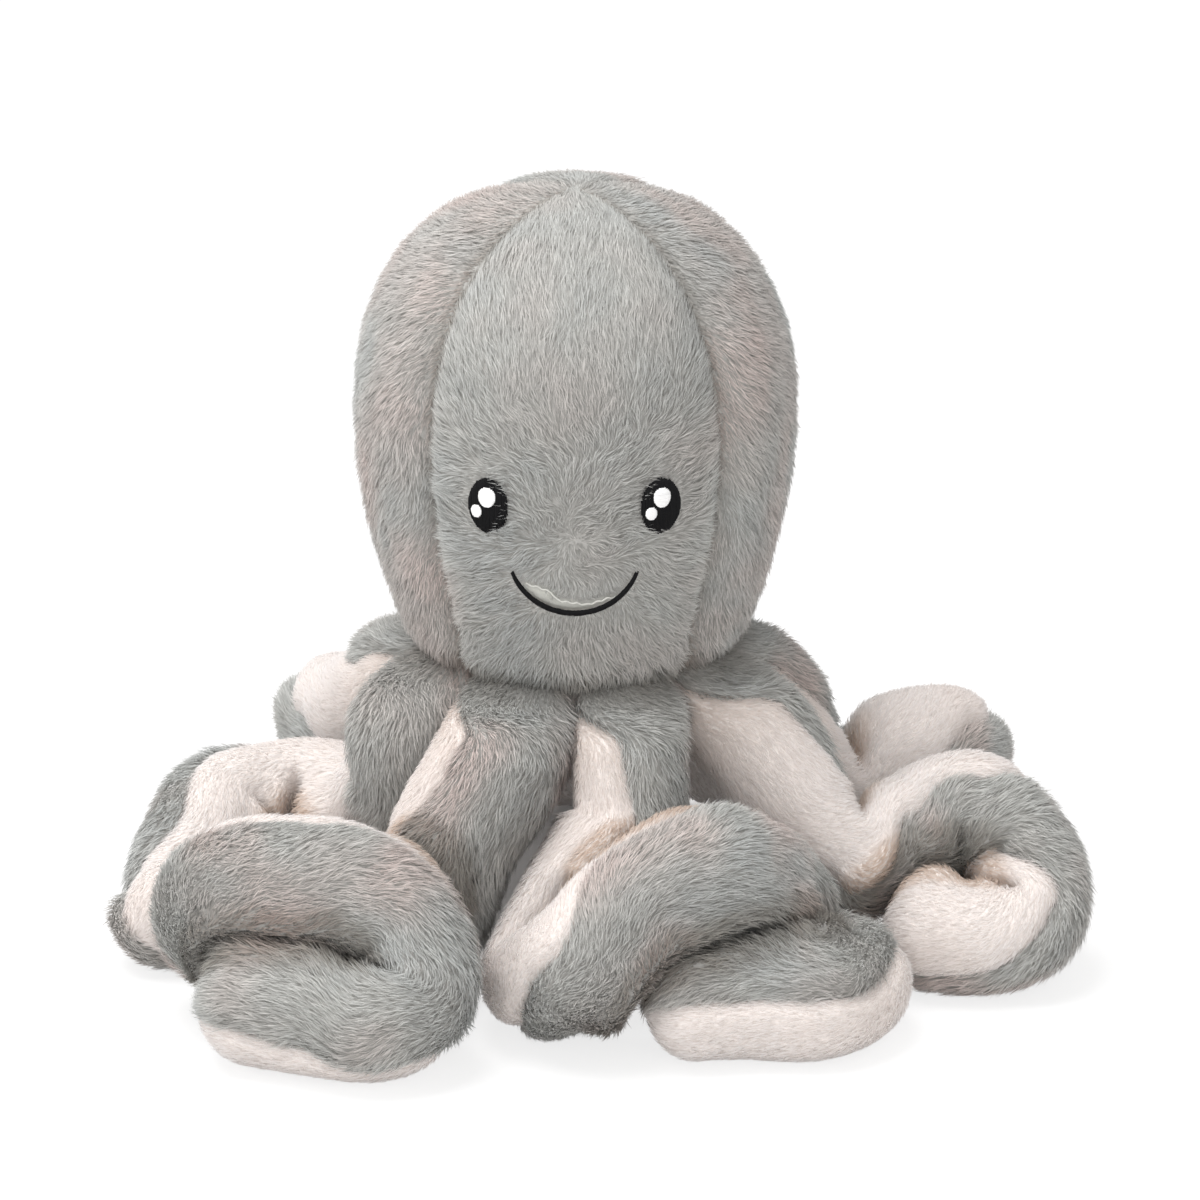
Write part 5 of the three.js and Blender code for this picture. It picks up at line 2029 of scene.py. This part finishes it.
@dataclass(frozen=True)
class Studio:
    """The pale floor, the lamps, the world and the camera, in metres."""

    elevation: float = 20.0
    distance: float = 3.6
    field: float = 0.36
    sensor: float = 36.0
    aim_aside: float = 0.0075
    aim_height: float = 0.1053
    floor_half: float = 6.0
    floor_grey: float = 0.94
    floor_glow: float = 1.08
    hidden_centre: Row = (-0.002, 0.048, 0.0)
    hidden_reach: Span = (0.1, 0.08)
    hidden_edge: Span = (0.78, 1.0)
    glow_share: Span = (0.02, 0.72)
    world_light: Row = (1.0, 0.985, 0.97)
    world_strength: float = 0.6
    lamp_aim: Row = (0.0, 0.0, 0.1)
    lamps: tuple[Lamp, ...] = (
        Lamp("top lamp", (-0.45, -0.3, 1.9), 1.3, 32.0),
        Lamp("front lamp", (0.1, -1.9, 0.9), 1.4, 11.0),
        Lamp("left lamp", (-1.7, -0.6, 0.8), 1.2, 8.0))

    def build(self) -> None:
        """Build the whole studio."""
        self._floor()
        self._world()
        for lamp in self.lamps:
            self._hang(lamp)
        self._camera()

    def _floor(self) -> None:
        """Make a wide pale floor that keeps its shadow, and shows white but for the floor under the toy."""
        half = self.floor_half
        mesh = bpy.data.meshes.new("floor")
        mesh.from_pydata([(-half, -half, 0), (half, -half, 0), (half, half, 0), (-half, half, 0)], [],
                         [(0, 1, 2, 3)])
        floor = placed("floor", mesh)
        material = bpy.data.materials.new("pale floor")
        pen = blank_nodes(material)
        matte = pen.add("ShaderNodeBsdfDiffuse", None, Color=(self.floor_grey,) * 3 + (1,))
        glow = pen.add("ShaderNodeEmission", None, Color=(1, 1, 1, 1), Strength=self.floor_glow)
        place = pen.add("ShaderNodeTexCoord").outputs["Object"]
        spot = pen.vector("SUBTRACT", place, self.hidden_centre).outputs[0]
        flat = pen.vector("MULTIPLY", spot, (*(1 / reach for reach in self.hidden_reach), 0.0)).outputs[0]
        reach = pen.vector("LENGTH", flat).outputs["Value"]
        shown = pen.maths("MULTIPLY", pen.seen(), pen.ramp(reach, *self.hidden_edge, *self.glow_share))
        mixed = pen.add("ShaderNodeMixShader", None, Fac=shown, i1=matte.outputs[0], i2=glow.outputs[0])
        pen.add("ShaderNodeOutputMaterial", None, Surface=mixed.outputs[0])
        mesh.materials.append(material)

    def _world(self) -> None:
        """Make a white surround that lights softly."""
        world = bpy.data.worlds.new("studio")
        bpy.context.scene.world = world
        pen = blank_nodes(world)
        light = (*self.world_light, 1)
        soft = pen.add("ShaderNodeBackground", None, Color=light, Strength=self.world_strength)
        white = pen.add("ShaderNodeBackground", None, Color=(1, 1, 1, 1), Strength=1.0)
        mixed = pen.add("ShaderNodeMixShader", None, Fac=pen.seen(), i1=soft.outputs[0],
                        i2=white.outputs[0])
        pen.add("ShaderNodeOutputWorld", None, Surface=mixed.outputs[0])

    def _hang(self, lamp: Lamp) -> None:
        """Hang one lamp."""
        data = bpy.data.lights.new(lamp.name, "AREA")
        data.shape = "DISK"
        data.size = lamp.size
        data.energy = lamp.watts
        made = placed(lamp.name, data)
        made.location = lamp.place
        way = Vector(self.lamp_aim) - Vector(lamp.place)
        made.rotation_euler = way.to_track_quat("-Z", "Y").to_euler()

    def _camera(self) -> None:
        """Stand the camera at the photograph's angle."""
        low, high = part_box("base_panel")
        aim = Vector(((low[0] + high[0]) / 2 + self.aim_aside, (low[1] + high[1]) / 2, self.aim_height))
        tilt = math.radians(self.elevation)
        data = bpy.data.cameras.new("camera")
        data.sensor_width = self.sensor
        data.lens = self.sensor * self.distance / self.field
        data.clip_end = 30.0
        camera = placed("camera", data)
        camera.location = aim + Vector((0, -math.cos(tilt), math.sin(tilt))) * self.distance
        camera.rotation_euler = (math.pi / 2 - tilt, 0, 0)
        bpy.context.scene.camera = camera


def main() -> None:
    """Build the toy and the studio."""
    logging.basicConfig(level=logging.INFO, format="%(message)s")
    bpy.context.scene.view_settings.view_transform = "Standard"
    finishes = Finishes()
    furrier = Furrier(finishes)
    Head(furrier, finishes, ThreadTree()).build()
    for seed, plan in enumerate(ARM_PLANS, start=1):
        Arm(plan, furrier, finishes, seed).build()
    bpy.data.objects.remove(furrier.strand)
    LOG.info("strands in all: %d", furrier.strands)
    Studio().build()
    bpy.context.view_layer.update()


if __name__ == "__main__":
    main()
